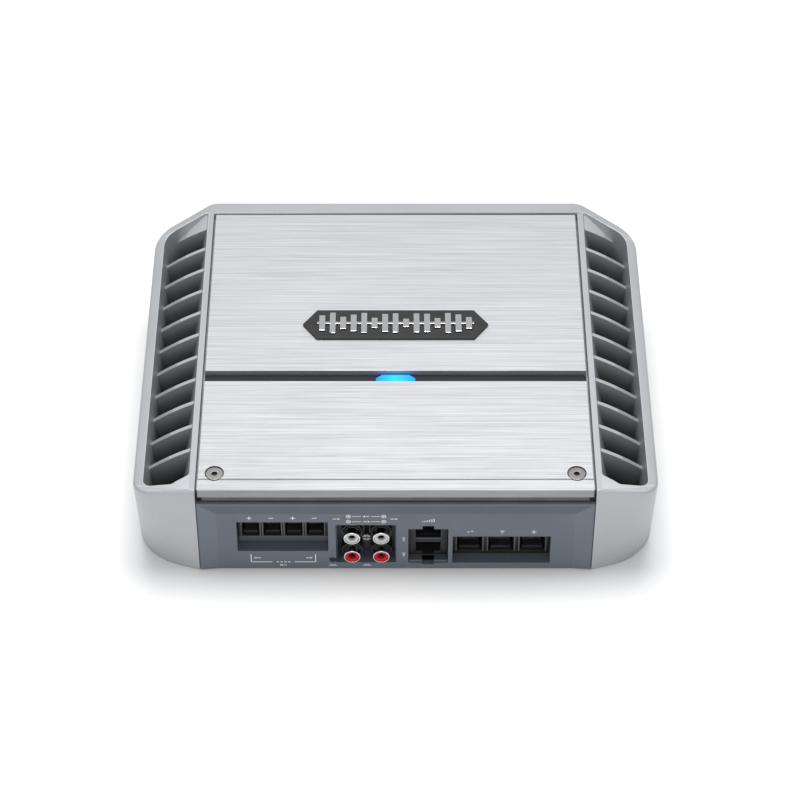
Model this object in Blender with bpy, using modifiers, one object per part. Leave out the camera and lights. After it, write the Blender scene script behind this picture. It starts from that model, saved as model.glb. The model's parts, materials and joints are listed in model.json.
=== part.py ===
"""Car amplifier: a two-channel amplifier in a finned cast heatsink, as separate named pieces.

The frame stands on the ground plane: +Z is up, +X is the amplifier's right seen from its connector
end, and -Y points out of the connector end. The origin is under the middle of the casting.
"""
import math

import bmesh
import bpy
from mathutils import Matrix, Vector

# ---- overall size (metres) ----
WIDTH = 0.254
DEPTH = 0.211
HEIGHT = 0.056
GAP = 0.0003            # air between two pieces that touch

# ---- plan of the top ----
PLATE_WIDTH = 0.190
COVER_SETBACK = 0.002   # front of the casting to the cover's front edge
COVER_LENGTH = 0.0739
CHANNEL_WIDTH = 0.0073
BACK_BAND = 0.0098      # rear plate's back edge to the back of the casting
PLATE_THICK = 0.0042
PLATE_SIDE_GAP = 0.001
COVER_SKIN = 0.0016
COVER_FLANGE = 0.0056   # drop of the cover's front flange
COVER_STRIP = 0.0071    # length of the lowered front strip
COVER_STRIP_DROP = 0.0005
COVER_SKIRT = 0.0022    # wall of the cover's pan
COVER_FRONT_SKIRT = 0.0016
COVER_BOSS_WALL = 0.0012
EDGE_BREAK = 0.0004     # bevel along the plates' edges
CORNER_RADIUS = 0.0015

# ---- casting ----
CHAMFER_X = 0.0300      # how far the back corners are cut across
CHAMFER_Y = 0.0222
CHAMFER_BACK_RADIUS = 0.010
CHAMFER_SIDE_RADIUS = 0.022
STRIP_WIDTH = 0.0027    # flat land between the plates and a fin well
RIM_WIDTH = 0.0055
RIM_DROP = 0.0035       # fall of the top from the land to the outer edge
RIM_FILLET = 0.0012
SIDE_DRAFT = 0.0008
FRONT_SWEEP = 0.0026    # how far the top front edge falls back at the outer corner
FRONT_TOP_RADIUS = 0.009
BOW_ANGLE = math.radians(17)
BOW_RADIUS = 0.028
DECK_THICK = 0.0035
BACK_WALL = 0.008
ARC_STEPS = 7

# ---- fin wells ----
FIN_SPACING = 0.0162    # nearest pitch; the true one divides the well's length
FIN_FIRST = 0.0278      # front fin behind the cover's front edge
FIN_LAST = 0.0192       # filled bay's front face ahead of the back of the casting
FIN_THICK = 0.0023
FIN_DROP = 0.0142
FIN_INNER_DROP = 0.0009
WELL_DEPTH = 0.027
WELL_FRONT = 0.0046
WELL_RADIUS = 0.004
WELL_RADII = (0.002, 0.004, WELL_RADIUS, 0.014, 0.001)  # from the inner front corner round
WELL_BACK_RIM = 0.0058  # rim behind a well, measured along Y
WELL_EDGE = 0.0004      # bright edge between the land and a well
WELL_SLANT = 0.36       # share of the well's width whose front edge is slanted
WELL_SLANT_RUN = 0.0056
WELL_INNER_LEAN = math.radians(14)
WELL_OUTER_LEAN = math.radians(6)
FIN_STEPS = 6

# ---- inside ----
CAVITY_HALF = 0.0925
BOARD_HALF = 0.0955
BOARD_THICK = 0.0016
BOARD_BOTTOM = 0.0024
BOTTOM_THICK = 0.0012
BOTTOM_LAND = 0.0085    # the bottom plate's reach past the board on each side
BOTTOM_BACK_LAND = 0.001    # and past the hollow at the back, inside the cut corners
BAY_HALF = 0.080
BAY_INSET = 0.0079      # back of the control bay ahead of the cover's back edge
BAY_LEDGE = 0.003
SIDE_BLOCK_DROP = 0.013
DECK_PLATE_DROP = 0.0093
DECK_PLATE_THICK = 0.0012
CONTROL_Y = 0.040       # row of controls behind the cover's front edge
CONTROL_BOARD_DROP = 0.018

# ---- fasteners ----
MOUNT_HOLE = 0.0025
MOUNT_HOLE_AHEAD = 0.010    # front mounting hole ahead of the first fin
COVER_SCREW_X = 0.087
COVER_SCREW_Y = 0.0109
COVER_SCREW_HEAD = 0.0043
COVER_SCREW_SHANK = 0.0015
COVER_SCREW_CONE = 0.0022
COVER_SCREW_LENGTH = 0.0085
SCREW_CLEARANCE = 0.0004
HEX_SOCKET = 0.0015
BOTTOM_SCREW_HEAD = 0.0029
BOTTOM_SCREW_SHANK = 0.0015
BOTTOM_SCREW_LENGTH = 0.009

# ---- front panel, heights measured down from the top of the casting ----
PANEL_GAP = 0.0003
PANEL_PROUD = 0.0015    # panel's rim in front of the cover's edge
PANEL_DROP = 0.0089
PANEL_RECESS = 0.0008
PANEL_FACE_THICK = 0.003
PANEL_SIDE_BEVEL = 0.0083
PANEL_TOP_BEVEL = 0.0068
PANEL_LIP = 0.0008
POCKET_WALL = 0.0013
POCKET_DEPTH = 0.0066

# ---- terminals ----
SPEAKER_X = -0.0549
SPEAKER_PITCH = 0.0105
SPEAKER_TOP = 0.0224
SPEAKER_BOTTOM = 0.0431
SPEAKER_WIDTH = 0.0443
SPEAKER_PORT = (0.0083, 0.0104)
SPEAKER_PORT_TOP = 0.0282
SPEAKER_SCREW = 0.0022
POWER_X = 0.0516
POWER_PITCH = 0.0154
POWER_TOP = 0.0326
POWER_BOTTOM = 0.0517
POWER_WIDTH = 0.0477
POWER_PORT = (0.0122, 0.0112)
POWER_PORT_TOP = 0.0384
POWER_SCREW = 0.0030
BLOCK_LENGTH = 0.0175
PORT_DEPTH = 0.0125
SCREW_SET_BACK = 0.0062
SCREW_TRAVEL_ROOM = 0.0002

# ---- signal sockets ----
RCA_X = -0.0144
RCA_WIDTH = 0.0293
RCA_TOP = 0.0244
RCA_BOTTOM = 0.0514
RCA_COLUMNS = (-0.0212, -0.0070)
RCA_ROWS = (0.0330, 0.0462)
RCA_SHELL = 0.00415
RCA_SHELL_WALL = 0.00055
RCA_CORE = 0.0017
RCA_REACH = 0.0107
RCA_SEAT = 0.0037       # how deep a shell sits in the housing
RCA_BOSS_WALL = 0.00105
RCA_BOSS_LENGTH = 0.0062
RCA_HOUSING_SETBACK = 0.0095
RCA_HOUSING_LENGTH = 0.015
GROUND_HEAD = 0.0021
GROUND_HEAD_TALL = 0.0024
GROUND_SHANK = 0.0011
JACK_X = 0.0159
JACK_WIDTH = 0.0194
JACK_TOP = 0.0274
JACK_BOTTOM = 0.0519
JACK_SETBACK = 0.0046
JACK_LENGTH = 0.021
JACK_PORT = (0.0122, 0.0072)
JACK_PORT_DEPTH = 0.013
JACK_KEY = (0.0056, 0.0022)
JACK_WEB = 0.0028
LED_X = -0.0307
LED_DROP = 0.0496
LED_RADIUS = 0.0015
LED_SETBACK = 0.0005

# ---- small parts ----
LIGHT_WIDTH = 0.0197
LIGHT_LENGTH = 0.0052
LIGHT_DROP = 0.0012
LIGHT_CORNER = (0.0028, 0.0022)
LIGHT_STEM = (0.010, 0.0024)
TRIM_DROP = 0.0033
EMBLEM = (0.094, 0.0206, 0.0011)
EMBLEM_BEHIND = 0.0323  # emblem's centre behind the rear plate's front edge
EMBLEM_RELIEF = 0.0006
KNOB_RADIUS = 0.0052
KNOB_TALL = 0.0052
KNOB_STEM = 0.0026
SWITCH_X = -0.050
POT_SIZE = (0.0098, 0.0098, 0.0060)

# ---- places worked out from the sizes above ----
FRONT_Y = -DEPTH / 2
BACK_Y = DEPTH / 2
COVER_Y = FRONT_Y + COVER_SETBACK
COVER_BACK_Y = COVER_Y + COVER_LENGTH
REAR_Y = COVER_BACK_Y + CHANNEL_WIDTH
REAR_BACK_Y = BACK_Y - BACK_BAND
BAY_LENGTH = COVER_LENGTH - BAY_INSET
FIN_ROOM = BACK_Y - FIN_LAST - COVER_Y - FIN_FIRST
FIN_COUNT = max(1, round(FIN_ROOM / FIN_SPACING))
FIN_PITCH = FIN_ROOM / FIN_COUNT
RCA_BOSS = RCA_SHELL + RCA_BOSS_WALL
PLATE_HALF = PLATE_WIDTH / 2
RECESS_HALF = PLATE_HALF + PLATE_SIDE_GAP
RECESS_Z = HEIGHT - PLATE_THICK - GAP
LAND_X = RECESS_HALF + STRIP_WIDTH
SIDE_X = WIDTH / 2
COVER_SCREW_Z = HEIGHT - COVER_STRIP_DROP * 0.6
BOARD_TOP = BOARD_BOTTOM + BOARD_THICK
SEAT_Z = BOARD_TOP + GAP
PANEL_FRONT_Y = COVER_Y - PANEL_PROUD
PANEL_FACE_Y = PANEL_FRONT_Y + PANEL_RECESS
PANEL_BACK_Y = PANEL_FACE_Y + PANEL_FACE_THICK
PANEL_HALF = RECESS_HALF - PANEL_GAP
BLOCK_Y = PANEL_FACE_Y + POCKET_DEPTH
BAY_FRONT_Y = PANEL_BACK_Y + 0.002

PARTS = "car_amplifier"
CUTTERS = "cutters"

COLOURS = {
    "cast_paint": ((0.50, 0.52, 0.54), 0.42, 0.35),
    "brushed_plate": ((0.66, 0.67, 0.68), 0.30, 0.95),
    "panel_slate": ((0.115, 0.132, 0.155), 0.55, 0.0),
    "black_plastic": ((0.012, 0.012, 0.013), 0.45, 0.0),
    "seal_grey": ((0.10, 0.11, 0.115), 0.70, 0.0),
    "chrome": ((0.80, 0.80, 0.81), 0.12, 1.0),
    "steel": ((0.48, 0.48, 0.49), 0.32, 1.0),
    "white_plastic": ((0.82, 0.82, 0.80), 0.35, 0.0),
    "red_plastic": ((0.62, 0.02, 0.03), 0.35, 0.0),
    "lamp_blue": ((0.02, 0.35, 0.90), 0.20, 0.0),
    "board_green": ((0.02, 0.13, 0.06), 0.50, 0.0),
    "copper": ((0.60, 0.27, 0.12), 0.30, 1.0),
    "sleeve_blue": ((0.03, 0.06, 0.16), 0.35, 0.0),
    "trim_dark": ((0.035, 0.037, 0.040), 0.35, 0.6),
}


def drop(value):
    """Height of a level given as a distance down from the casting's top."""
    return HEIGHT - value


def behind(value):
    """Y of a place given as a distance behind the cover's front edge."""
    return COVER_Y + value


def clear_scene():
    """Empty the scene and make the two collections."""
    for item in list(bpy.data.objects):
        bpy.data.objects.remove(item, do_unlink=True)
    for name in (PARTS, CUTTERS):
        collection = bpy.data.collections.new(name)
        bpy.context.scene.collection.children.link(collection)


def material(name):
    """One Principled material from the colour table."""
    found = bpy.data.materials.get(name)
    if found:
        return found
    colour, roughness, metallic = COLOURS[name]
    made = bpy.data.materials.new(name)
    made.use_nodes = True
    shader = made.node_tree.nodes["Principled BSDF"]
    shader.inputs["Base Color"].default_value = (*colour, 1.0)
    shader.inputs["Roughness"].default_value = roughness
    shader.inputs["Metallic"].default_value = metallic
    return made


def add_object(name, bm, finish=None, smooth=False):
    """Turn a bmesh into an object: a part with a finish, or a cutter without one."""
    bmesh.ops.recalc_face_normals(bm, faces=bm.faces)
    mesh = bpy.data.meshes.new(name)
    bm.to_mesh(mesh)
    bm.free()
    if smooth:
        mesh.shade_smooth()
        mesh.set_sharp_from_angle(angle=math.radians(35))
    made = bpy.data.objects.new(name, mesh)
    if finish:
        mesh.materials.append(material(finish))
        bpy.data.collections[PARTS].objects.link(made)
    else:
        made.hide_render = True
        made.display_type = 'WIRE'
        bpy.data.collections[CUTTERS].objects.link(made)
    return made


def put(item, origin):
    """Move an object's origin to a point and leave its mesh where it is."""
    point = Vector(origin)
    item.data.transform(Matrix.Translation(-point))
    item.location = point
    return item


def box_into(bm, low, high):
    """Add a closed box to a bmesh."""
    low = Vector(low)
    high = Vector(high)
    size = high - low
    place = Matrix.Translation((low + high) / 2) @ Matrix.Diagonal((*size, 1.0))
    return bmesh.ops.create_cube(bm, size=1.0, matrix=place)["verts"]


def rod_into(bm, centre, radius, length, axis='Z', sides=24, top_radius=None):
    """Add a closed cylinder or cone, centred on a point, to a bmesh."""
    turn = {'Z': Matrix.Identity(4),
            'Y': Matrix.Rotation(math.radians(90), 4, 'X'),
            'X': Matrix.Rotation(math.radians(90), 4, 'Y')}[axis]
    place = Matrix.Translation(Vector(centre)) @ turn
    other = radius if top_radius is None else top_radius
    return bmesh.ops.create_cone(bm, cap_ends=True, segments=sides, radius1=radius,
                                 radius2=other, depth=length, matrix=place)["verts"]


def box(name, low, high, finish=None, bevel=0.0):
    """A box between two corners, with rounded edges where a bevel is given."""
    bm = bmesh.new()
    box_into(bm, low, high)
    if bevel:
        bmesh.ops.bevel(bm, geom=bm.edges[:], offset=bevel, segments=2, profile=0.5,
                        affect='EDGES')
    return add_object(name, bm, finish)


def rod(name, centre, radius, length, axis='Z', finish=None, sides=24, top_radius=None):
    """A cylinder or cone centred on a point."""
    bm = bmesh.new()
    rod_into(bm, centre, radius, length, axis, sides, top_radius)
    return add_object(name, bm, finish, smooth=True)


def prism(name, outline, low_z, high_z, finish=None):
    """A flat outline in plan, raised from one height to another."""
    bm = bmesh.new()
    ring = [bm.verts.new((x, y, low_z)) for x, y in outline]
    face = bm.faces.new(ring)
    grown = bmesh.ops.extrude_face_region(bm, geom=[face])["geom"]
    lifted = [part for part in grown if isinstance(part, bmesh.types.BMVert)]
    bmesh.ops.translate(bm, verts=lifted, vec=(0, 0, high_z - low_z))
    return add_object(name, bm, finish)


def loft(name, rings, finish=None):
    """A closed solid through rings that have the same number of points."""
    bm = bmesh.new()
    rows = [[bm.verts.new(point) for point in ring] for ring in rings]
    count = len(rows[0])
    for lower, upper in zip(rows, rows[1:]):
        for index in range(count):
            after = (index + 1) % count
            bm.faces.new((lower[index], lower[after], upper[after], upper[index]))
    bm.faces.new(rows[0])
    bm.faces.new(rows[-1])
    bmesh.ops.remove_doubles(bm, verts=bm.verts, dist=1e-6)
    return add_object(name, bm, finish)


def turned(name, profile, origin, axis, finish, steps=20):
    """A solid of revolution: (radius, height) points turned about an axis through an origin."""
    bm = bmesh.new()
    points = [bm.verts.new((radius, 0, height)) for radius, height in profile]
    for first, second in zip(points, points[1:] + points[:1]):
        bm.edges.new((first, second))
    bmesh.ops.spin(bm, geom=bm.verts[:] + bm.edges[:], cent=(0, 0, 0), axis=(0, 0, 1),
                   angle=math.tau, steps=steps, use_merge=True)
    bmesh.ops.remove_doubles(bm, verts=bm.verts, dist=1e-6)
    if axis == 'Y':
        bmesh.ops.rotate(bm, verts=bm.verts, cent=(0, 0, 0),
                         matrix=Matrix.Rotation(math.radians(90), 3, 'X'))
    made = add_object(name, bm, finish, smooth=True)
    made.location = origin
    return made


def boolean(item, other, operation):
    """Cut one object with another, or join them."""
    step = item.modifiers.new(other.name, 'BOOLEAN')
    step.operation = operation
    step.solver = 'EXACT'
    step.object = other


def cut(item, *cutters):
    """Cut an object with each cutter."""
    for cutter in cutters:
        boolean(item, cutter, 'DIFFERENCE')
    return item


def join(item, *others):
    """Join shapes to an object."""
    for other in others:
        boolean(item, other, 'UNION')
    return item


def arc(centre, radius, start, end, steps=ARC_STEPS):
    """Points along an arc between two headings in radians."""
    turn = (end - start) / steps
    return [(centre[0] + radius * math.cos(start + turn * index),
             centre[1] + radius * math.sin(start + turn * index)) for index in range(steps + 1)]


def rounded(corner, before, after, radius, steps=ARC_STEPS):
    """The arc that rounds one corner of an outline between its two neighbours."""
    point = Vector(corner)
    back = (Vector(before) - point).normalized()
    ahead = (Vector(after) - point).normalized()
    half = back.angle(ahead) / 2
    reach = radius / math.tan(half)
    centre = point + (back + ahead).normalized() * radius / math.sin(half)
    start = point + back * reach - centre
    end = point + ahead * reach - centre
    first = math.atan2(start.y, start.x)
    sweep = math.atan2(end.y, end.x) - first
    sweep = (sweep + math.pi) % math.tau - math.pi
    return arc(centre, radius, first, first + sweep, steps)


def mirrored(half):
    """A whole outline from its right half, which runs from the back to the front."""
    return half + [(-x, y) for x, y in reversed(half)]


# ---- casting ----

def top_outline(inset):
    """Right half of the casting's top edge in plan, moved in by an inset."""
    back = BACK_Y - inset
    side = SIDE_X - SIDE_DRAFT - inset
    corner_x = SIDE_X - CHAMFER_X - 0.41 * inset
    corner_y = BACK_Y - CHAMFER_Y - 0.41 * inset
    front_in = (RECESS_HALF, PANEL_FRONT_Y + inset)
    front_out = (side, PANEL_FRONT_Y + FRONT_SWEEP + inset)
    points = [(RECESS_HALF * 0.5, back)]
    points += rounded((corner_x, back), points[0], (side, corner_y),
                      CHAMFER_BACK_RADIUS - inset)
    points += rounded((side, corner_y), (corner_x, back), front_out,
                      CHAMFER_SIDE_RADIUS - inset)
    points += rounded(front_out, (side, corner_y), front_in, FRONT_TOP_RADIUS - inset)
    points.append(front_in)
    return points


def bottom_outline():
    """Right half of the casting's foot in plan, with its bow-shaped front corner."""
    corner_x = SIDE_X - CHAMFER_X
    corner_y = BACK_Y - CHAMFER_Y
    front_in = (RECESS_HALF, PANEL_FRONT_Y)
    rise = (SIDE_X - RECESS_HALF) * math.tan(BOW_ANGLE)
    front_out = (SIDE_X, PANEL_FRONT_Y + rise)
    points = [(RECESS_HALF * 0.5, BACK_Y)]
    points += rounded((corner_x, BACK_Y), points[0], (SIDE_X, corner_y),
                      CHAMFER_BACK_RADIUS)
    points += rounded((SIDE_X, corner_y), (corner_x, BACK_Y), front_out,
                      CHAMFER_SIDE_RADIUS)
    points += rounded(front_out, (SIDE_X, corner_y), front_in, BOW_RADIUS)
    points.append(front_in)
    return points


def land_outline():
    """Right half of the flat land's outer edge, point for point with the top edge."""
    back = REAR_BACK_Y + PLATE_SIDE_GAP + STRIP_WIDTH * 0.5
    corner = (LAND_X, back)
    count = ARC_STEPS + 1
    points = [(RECESS_HALF * 0.5, back)]
    points += rounded(corner, points[0], (LAND_X, FRONT_Y), CORNER_RADIUS, 2 * count - 1)
    front = PANEL_FRONT_Y + RIM_FILLET * 1.2
    points += [(LAND_X, front + 0.001 * (1 - step / count)) for step in range(count)]
    points.append((RECESS_HALF, front))
    return points


def at_height(outline, height):
    """Give a plan outline one height."""
    return [(x, y, height) for x, y in outline]


def rim_height(x, drop_down=RIM_DROP):
    """Height of the sloping top at a distance from the middle."""
    across = max(0.0, abs(x) - LAND_X) / (SIDE_X - LAND_X)
    return HEIGHT - drop_down * min(1.0, across)


def casting_shell():
    """Outer block of the casting: foot, draughted walls, rim fillet and sloping top."""
    edge = top_outline(0.0)
    fillet = top_outline(RIM_FILLET)
    rings = [at_height(mirrored(bottom_outline()), 0.0),
             [(x, y, rim_height(x) - RIM_FILLET) for x, y in mirrored(edge)],
             [(x, y, rim_height(x) - RIM_FILLET * 0.3) for x, y in mirrored(top_outline(0.0004))],
             [(x, y, rim_height(x)) for x, y in mirrored(fillet)],
             at_height(mirrored(land_outline()), HEIGHT)]
    return loft("heatsink_casting", rings, "cast_paint")


def well_outline(side, grow):
    """Plan of a fin well, grown outwards or shrunk, for one side of the casting."""
    inner = LAND_X + WELL_EDGE - grow[0]
    outer = SIDE_X - RIM_WIDTH + grow[1]
    front = COVER_Y + WELL_FRONT - grow[1]
    slope = CHAMFER_Y / CHAMFER_X
    back_in = BACK_Y - (inner - (SIDE_X - CHAMFER_X)) * slope - WELL_BACK_RIM + grow[1]
    back_out = BACK_Y - (outer - (SIDE_X - CHAMFER_X)) * slope - WELL_BACK_RIM + grow[1]
    slant = (outer - inner) * WELL_SLANT
    corners = [(inner, front + WELL_SLANT_RUN), (inner + slant, front), (outer, front),
               (outer, back_out), (inner, back_in)]
    points = []
    for index, corner in enumerate(corners):
        before = corners[index - 1]
        after = corners[(index + 1) % len(corners)]
        points += rounded(corner, before, after, WELL_RADII[index], 4)
    return [(side * x, y) for x, y in points]


def well_cutter(name, side):
    """Tapered hollow between the land and the rim."""
    floor_z = HEIGHT - WELL_DEPTH
    inner = WELL_DEPTH * math.tan(WELL_INNER_LEAN)
    outer = WELL_DEPTH * math.tan(WELL_OUTER_LEAN)
    above = 0.004
    top = (inner * above / WELL_DEPTH, outer * above / WELL_DEPTH)
    rings = [at_height(well_outline(side, (-inner, -outer)), floor_z),
             at_height(well_outline(side, top), HEIGHT + above)]
    return loft(name, rings)


def fin_profile():
    """Arched top edge of a fin, as (distance from the middle, height) points."""
    inner = LAND_X
    outer = SIDE_X - RIM_WIDTH
    start = drop(FIN_INNER_DROP)
    points = []
    for step in range(FIN_STEPS + 1):
        along = step / FIN_STEPS
        fall = FIN_DROP * (0.72 * along + 0.28 * along ** 2)
        points.append((inner + (outer - inner) * along, start - fall))
    return points


def fin_into(bm, side, front_y, back_y):
    """One fin, from its arched top down into the well's floor and out into both walls."""
    root = HEIGHT - WELL_DEPTH - 0.002
    profile = fin_profile()
    first = (profile[0][0] - STRIP_WIDTH * 0.5, profile[0][1])
    last = (profile[-1][0] + RIM_WIDTH * 0.5, profile[-1][1])
    outline = [(first[0], root), first] + profile + [last, (last[0], root)]
    ring = [bm.verts.new((side * x, front_y, z)) for x, z in outline]
    face = bm.faces.new(ring)
    grown = bmesh.ops.extrude_face_region(bm, geom=[face])["geom"]
    moved = [part for part in grown if isinstance(part, bmesh.types.BMVert)]
    bmesh.ops.translate(bm, verts=moved, vec=(0, back_y - front_y, 0))


def fins(name, side):
    """A side's row of fins, with the rearmost bay filled up to the back wall."""
    bm = bmesh.new()
    for index in range(FIN_COUNT):
        middle = behind(FIN_FIRST + FIN_PITCH * index)
        fin_into(bm, side, middle - FIN_THICK / 2, middle + FIN_THICK / 2)
    last = behind(FIN_FIRST + FIN_PITCH * FIN_COUNT)
    fin_into(bm, side, last - FIN_THICK / 2, last + CHAMFER_Y)
    return add_object(name, bm)


def fin_trim(name, side):
    """What the fins may fill: the well grown into its walls, so that no fin leaves the casting."""
    reach = (STRIP_WIDTH * 0.6, RIM_WIDTH * 0.6)
    rings = [at_height(well_outline(side, reach), HEIGHT - WELL_DEPTH - 0.004),
             at_height(well_outline(side, reach), HEIGHT + 0.004)]
    return loft(name, rings)


def heatsink_casting():
    """The cast body: two fin wells, the deck under the plates, the hollow and the screw holes."""
    body = casting_shell()
    for word, side in (("left", -1), ("right", 1)):
        row = fins("fins_" + word, side)
        boolean(row, fin_trim("fin_trim_" + word, side), 'INTERSECT')
        cut(body, well_cutter("well_" + word, side))
        join(body, row)
    over = HEIGHT + 0.01
    under = -0.01
    ahead = FRONT_Y - 0.01
    deck_z = RECESS_Z - DECK_THICK
    block_z = drop(SIDE_BLOCK_DROP)
    ledge_z = drop(DECK_PLATE_DROP + DECK_PLATE_THICK) - GAP
    bay_back = behind(BAY_LENGTH)
    hollow_back = BACK_Y - BACK_WALL
    bottom_half = BOARD_HALF + BOTTOM_LAND + GAP
    cut(body,
        box("recess_cut", (-RECESS_HALF, ahead, RECESS_Z),
            (RECESS_HALF, REAR_BACK_Y + PLATE_SIDE_GAP, over)),
        box("front_cut", (-RECESS_HALF, ahead, under), (RECESS_HALF, BAY_FRONT_Y, over)),
        box("bay_cut", (-BAY_HALF, ahead, ledge_z), (BAY_HALF, bay_back, over)),
        box("bay_floor_cut", (-BAY_HALF + BAY_LEDGE, ahead, block_z - 0.001),
            (BAY_HALF - BAY_LEDGE, bay_back - BAY_LEDGE, over)),
        box("front_hollow_cut", (-CAVITY_HALF, ahead, under),
            (CAVITY_HALF, bay_back + BAY_LEDGE, block_z)),
        box("rear_hollow_cut", (-CAVITY_HALF, bay_back + BAY_LEDGE * 0.5, under),
            (CAVITY_HALF, hollow_back, deck_z)),
        box("board_cut", (-BOARD_HALF - GAP, ahead, under),
            (BOARD_HALF + GAP, hollow_back + GAP, SEAT_Z)),
        box("bottom_cut", (-bottom_half, PANEL_BACK_Y, under),
            (bottom_half, hollow_back + BOTTOM_BACK_LAND + GAP, BOTTOM_THICK + GAP)),
        casting_holes())
    return body


def bottom_screw_places():
    """Where the bottom plate is screwed up into the casting."""
    x = BOARD_HALF + BOTTOM_LAND * 0.5
    return [(side * x, y) for y in (behind(0.020), BACK_Y - BACK_WALL - 0.012)
            for side in (-1, 1)]


def mounting_hole_places():
    """Where the amplifier is screwed down, in the open bays at both ends of each fin well."""
    middle = (LAND_X + WELL_DEPTH * math.tan(WELL_INNER_LEAN) + SIDE_X - RIM_WIDTH) / 2
    front = behind(FIN_FIRST) - MOUNT_HOLE_AHEAD
    back = behind(FIN_FIRST + FIN_PITCH * (FIN_COUNT - 0.5))
    return [(side * middle, y) for y in (front, back) for side in (-1, 1)]


def casting_holes():
    """Every drilled hole in the casting, as one cutter."""
    bm = bmesh.new()
    depth = COVER_SCREW_LENGTH + 0.001
    for side in (-1, 1):
        rod_into(bm, (side * COVER_SCREW_X, behind(COVER_SCREW_Y), HEIGHT - depth / 2),
                 COVER_SCREW_SHANK + SCREW_CLEARANCE, depth, sides=12)
    for x, y in bottom_screw_places():
        rod_into(bm, (x, y, BOTTOM_SCREW_LENGTH / 2), BOTTOM_SCREW_SHANK + SCREW_CLEARANCE,
                 BOTTOM_SCREW_LENGTH + 0.003, sides=12)
    for x, y in mounting_hole_places():
        rod_into(bm, (x, y, HEIGHT / 4), MOUNT_HOLE, HEIGHT, sides=16)
    stem_y = light_middle_y()
    half_x = LIGHT_STEM[0] / 2 + GAP
    half_y = LIGHT_STEM[1] / 2 + GAP
    box_into(bm, (-half_x, stem_y - half_y, RECESS_Z - DECK_THICK - 0.002),
             (half_x, stem_y + half_y, RECESS_Z + 0.002))
    return add_object("casting_holes", bm)


# ---- plates and cover ----

def rear_top_plate():
    """Fixed brushed plate over the rear of the deck."""
    plate = box("rear_top_plate", (-PLATE_HALF, REAR_Y, HEIGHT - PLATE_THICK),
                (PLATE_HALF, REAR_BACK_Y, HEIGHT), "brushed_plate")
    edge = plate.modifiers.new("edges", 'BEVEL')
    edge.width = EDGE_BREAK
    edge.segments = 2
    return plate


def front_cover():
    """Lift-off brushed cover: a shallow pan with a deeper front flange and a lowered strip."""
    cover = box("front_cover", (-PLATE_HALF, COVER_Y, drop(COVER_FLANGE)),
                (PLATE_HALF, COVER_BACK_Y, HEIGHT), "brushed_plate")
    edge = cover.modifiers.new("edges", 'BEVEL')
    edge.width = EDGE_BREAK
    edge.segments = 2
    inside_top = HEIGHT - COVER_SKIN - COVER_STRIP_DROP
    under = drop(COVER_FLANGE) - 0.01
    land = COVER_Y + COVER_FRONT_SKIRT
    far = PLATE_HALF + 0.01
    boss = COVER_SCREW_HEAD + COVER_BOSS_WALL
    pan = box("cover_pan_cut", (-PLATE_HALF + COVER_SKIRT, land, under),
              (PLATE_HALF - COVER_SKIRT, COVER_BACK_Y - COVER_SKIRT, inside_top))
    seat = box("cover_seat_cut", (-far, land, under), (far, COVER_BACK_Y + 0.01, RECESS_Z + GAP))
    strip = box("cover_strip_cut", (-far, COVER_Y - 0.01, HEIGHT - COVER_STRIP_DROP),
                (far, COVER_Y + COVER_STRIP, HEIGHT + 0.01))
    posts = bmesh.new()
    holes = bmesh.new()
    sinks = []
    for side in (-1, 1):
        x = side * COVER_SCREW_X
        y = behind(COVER_SCREW_Y)
        rod_into(posts, (x, y, (RECESS_Z + GAP + HEIGHT - COVER_SKIN * 0.5) / 2), boss,
                 HEIGHT - COVER_SKIN * 0.5 - RECESS_Z - GAP, sides=20)
        rod_into(holes, (x, y, HEIGHT - PLATE_THICK / 2), COVER_SCREW_SHANK + SCREW_CLEARANCE,
                 PLATE_THICK + 0.004, sides=16)
        clear = SCREW_CLEARANCE
        low = -COVER_SCREW_CONE - 2 * clear
        profile = [(0.0, low), (COVER_SCREW_SHANK + clear, low),
                   (COVER_SCREW_HEAD + clear, -2 * clear), (COVER_SCREW_HEAD + clear, 0.003),
                   (0.0, 0.003)]
        sinks.append(solid_of_turn("cover_sink_" + str(side), profile,
                                   (x, y, COVER_SCREW_Z), None, 24))
    cut(cover, pan, seat, strip)
    join(cover, add_object("cover_posts", posts))
    cut(cover, add_object("cover_holes", holes), *sinks)
    return cover


def hex_screw(name, x, y, head_z, finish="steel"):
    """Countersunk screw with a hexagon socket, its origin on its axis."""
    head = COVER_SCREW_HEAD
    shank = COVER_SCREW_SHANK
    profile = [(0.0, -COVER_SCREW_LENGTH), (shank, -COVER_SCREW_LENGTH),
               (shank, -COVER_SCREW_CONE), (head, -0.0003), (head - 0.0002, 0.0), (0.0, 0.0)]
    screw = solid_of_turn(name, profile, (x, y, head_z), finish)
    socket = rod(name + "_socket", (x, y, head_z), HEX_SOCKET, 0.0028, sides=6)
    return cut(screw, socket)


def solid_of_turn(name, profile, origin, finish, steps=20):
    """A solid of revolution about +Z whose profile starts and ends on the axis."""
    bm = bmesh.new()
    points = [bm.verts.new((radius, 0, height)) for radius, height in profile]
    for first, second in zip(points, points[1:]):
        bm.edges.new((first, second))
    bmesh.ops.spin(bm, geom=bm.verts[:] + bm.edges[:], cent=(0, 0, 0), axis=(0, 0, 1),
                   angle=math.tau, steps=steps, use_merge=True)
    bmesh.ops.remove_doubles(bm, verts=bm.verts, dist=1e-6)
    made = add_object(name, bm, finish, smooth=True)
    made.location = origin
    return made


def cover_screws():
    """The two screws that hold the cover."""
    for word, side in (("left", -1), ("right", 1)):
        hex_screw("cover_screw_" + word, side * COVER_SCREW_X, behind(COVER_SCREW_Y),
                  COVER_SCREW_Z)


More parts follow.
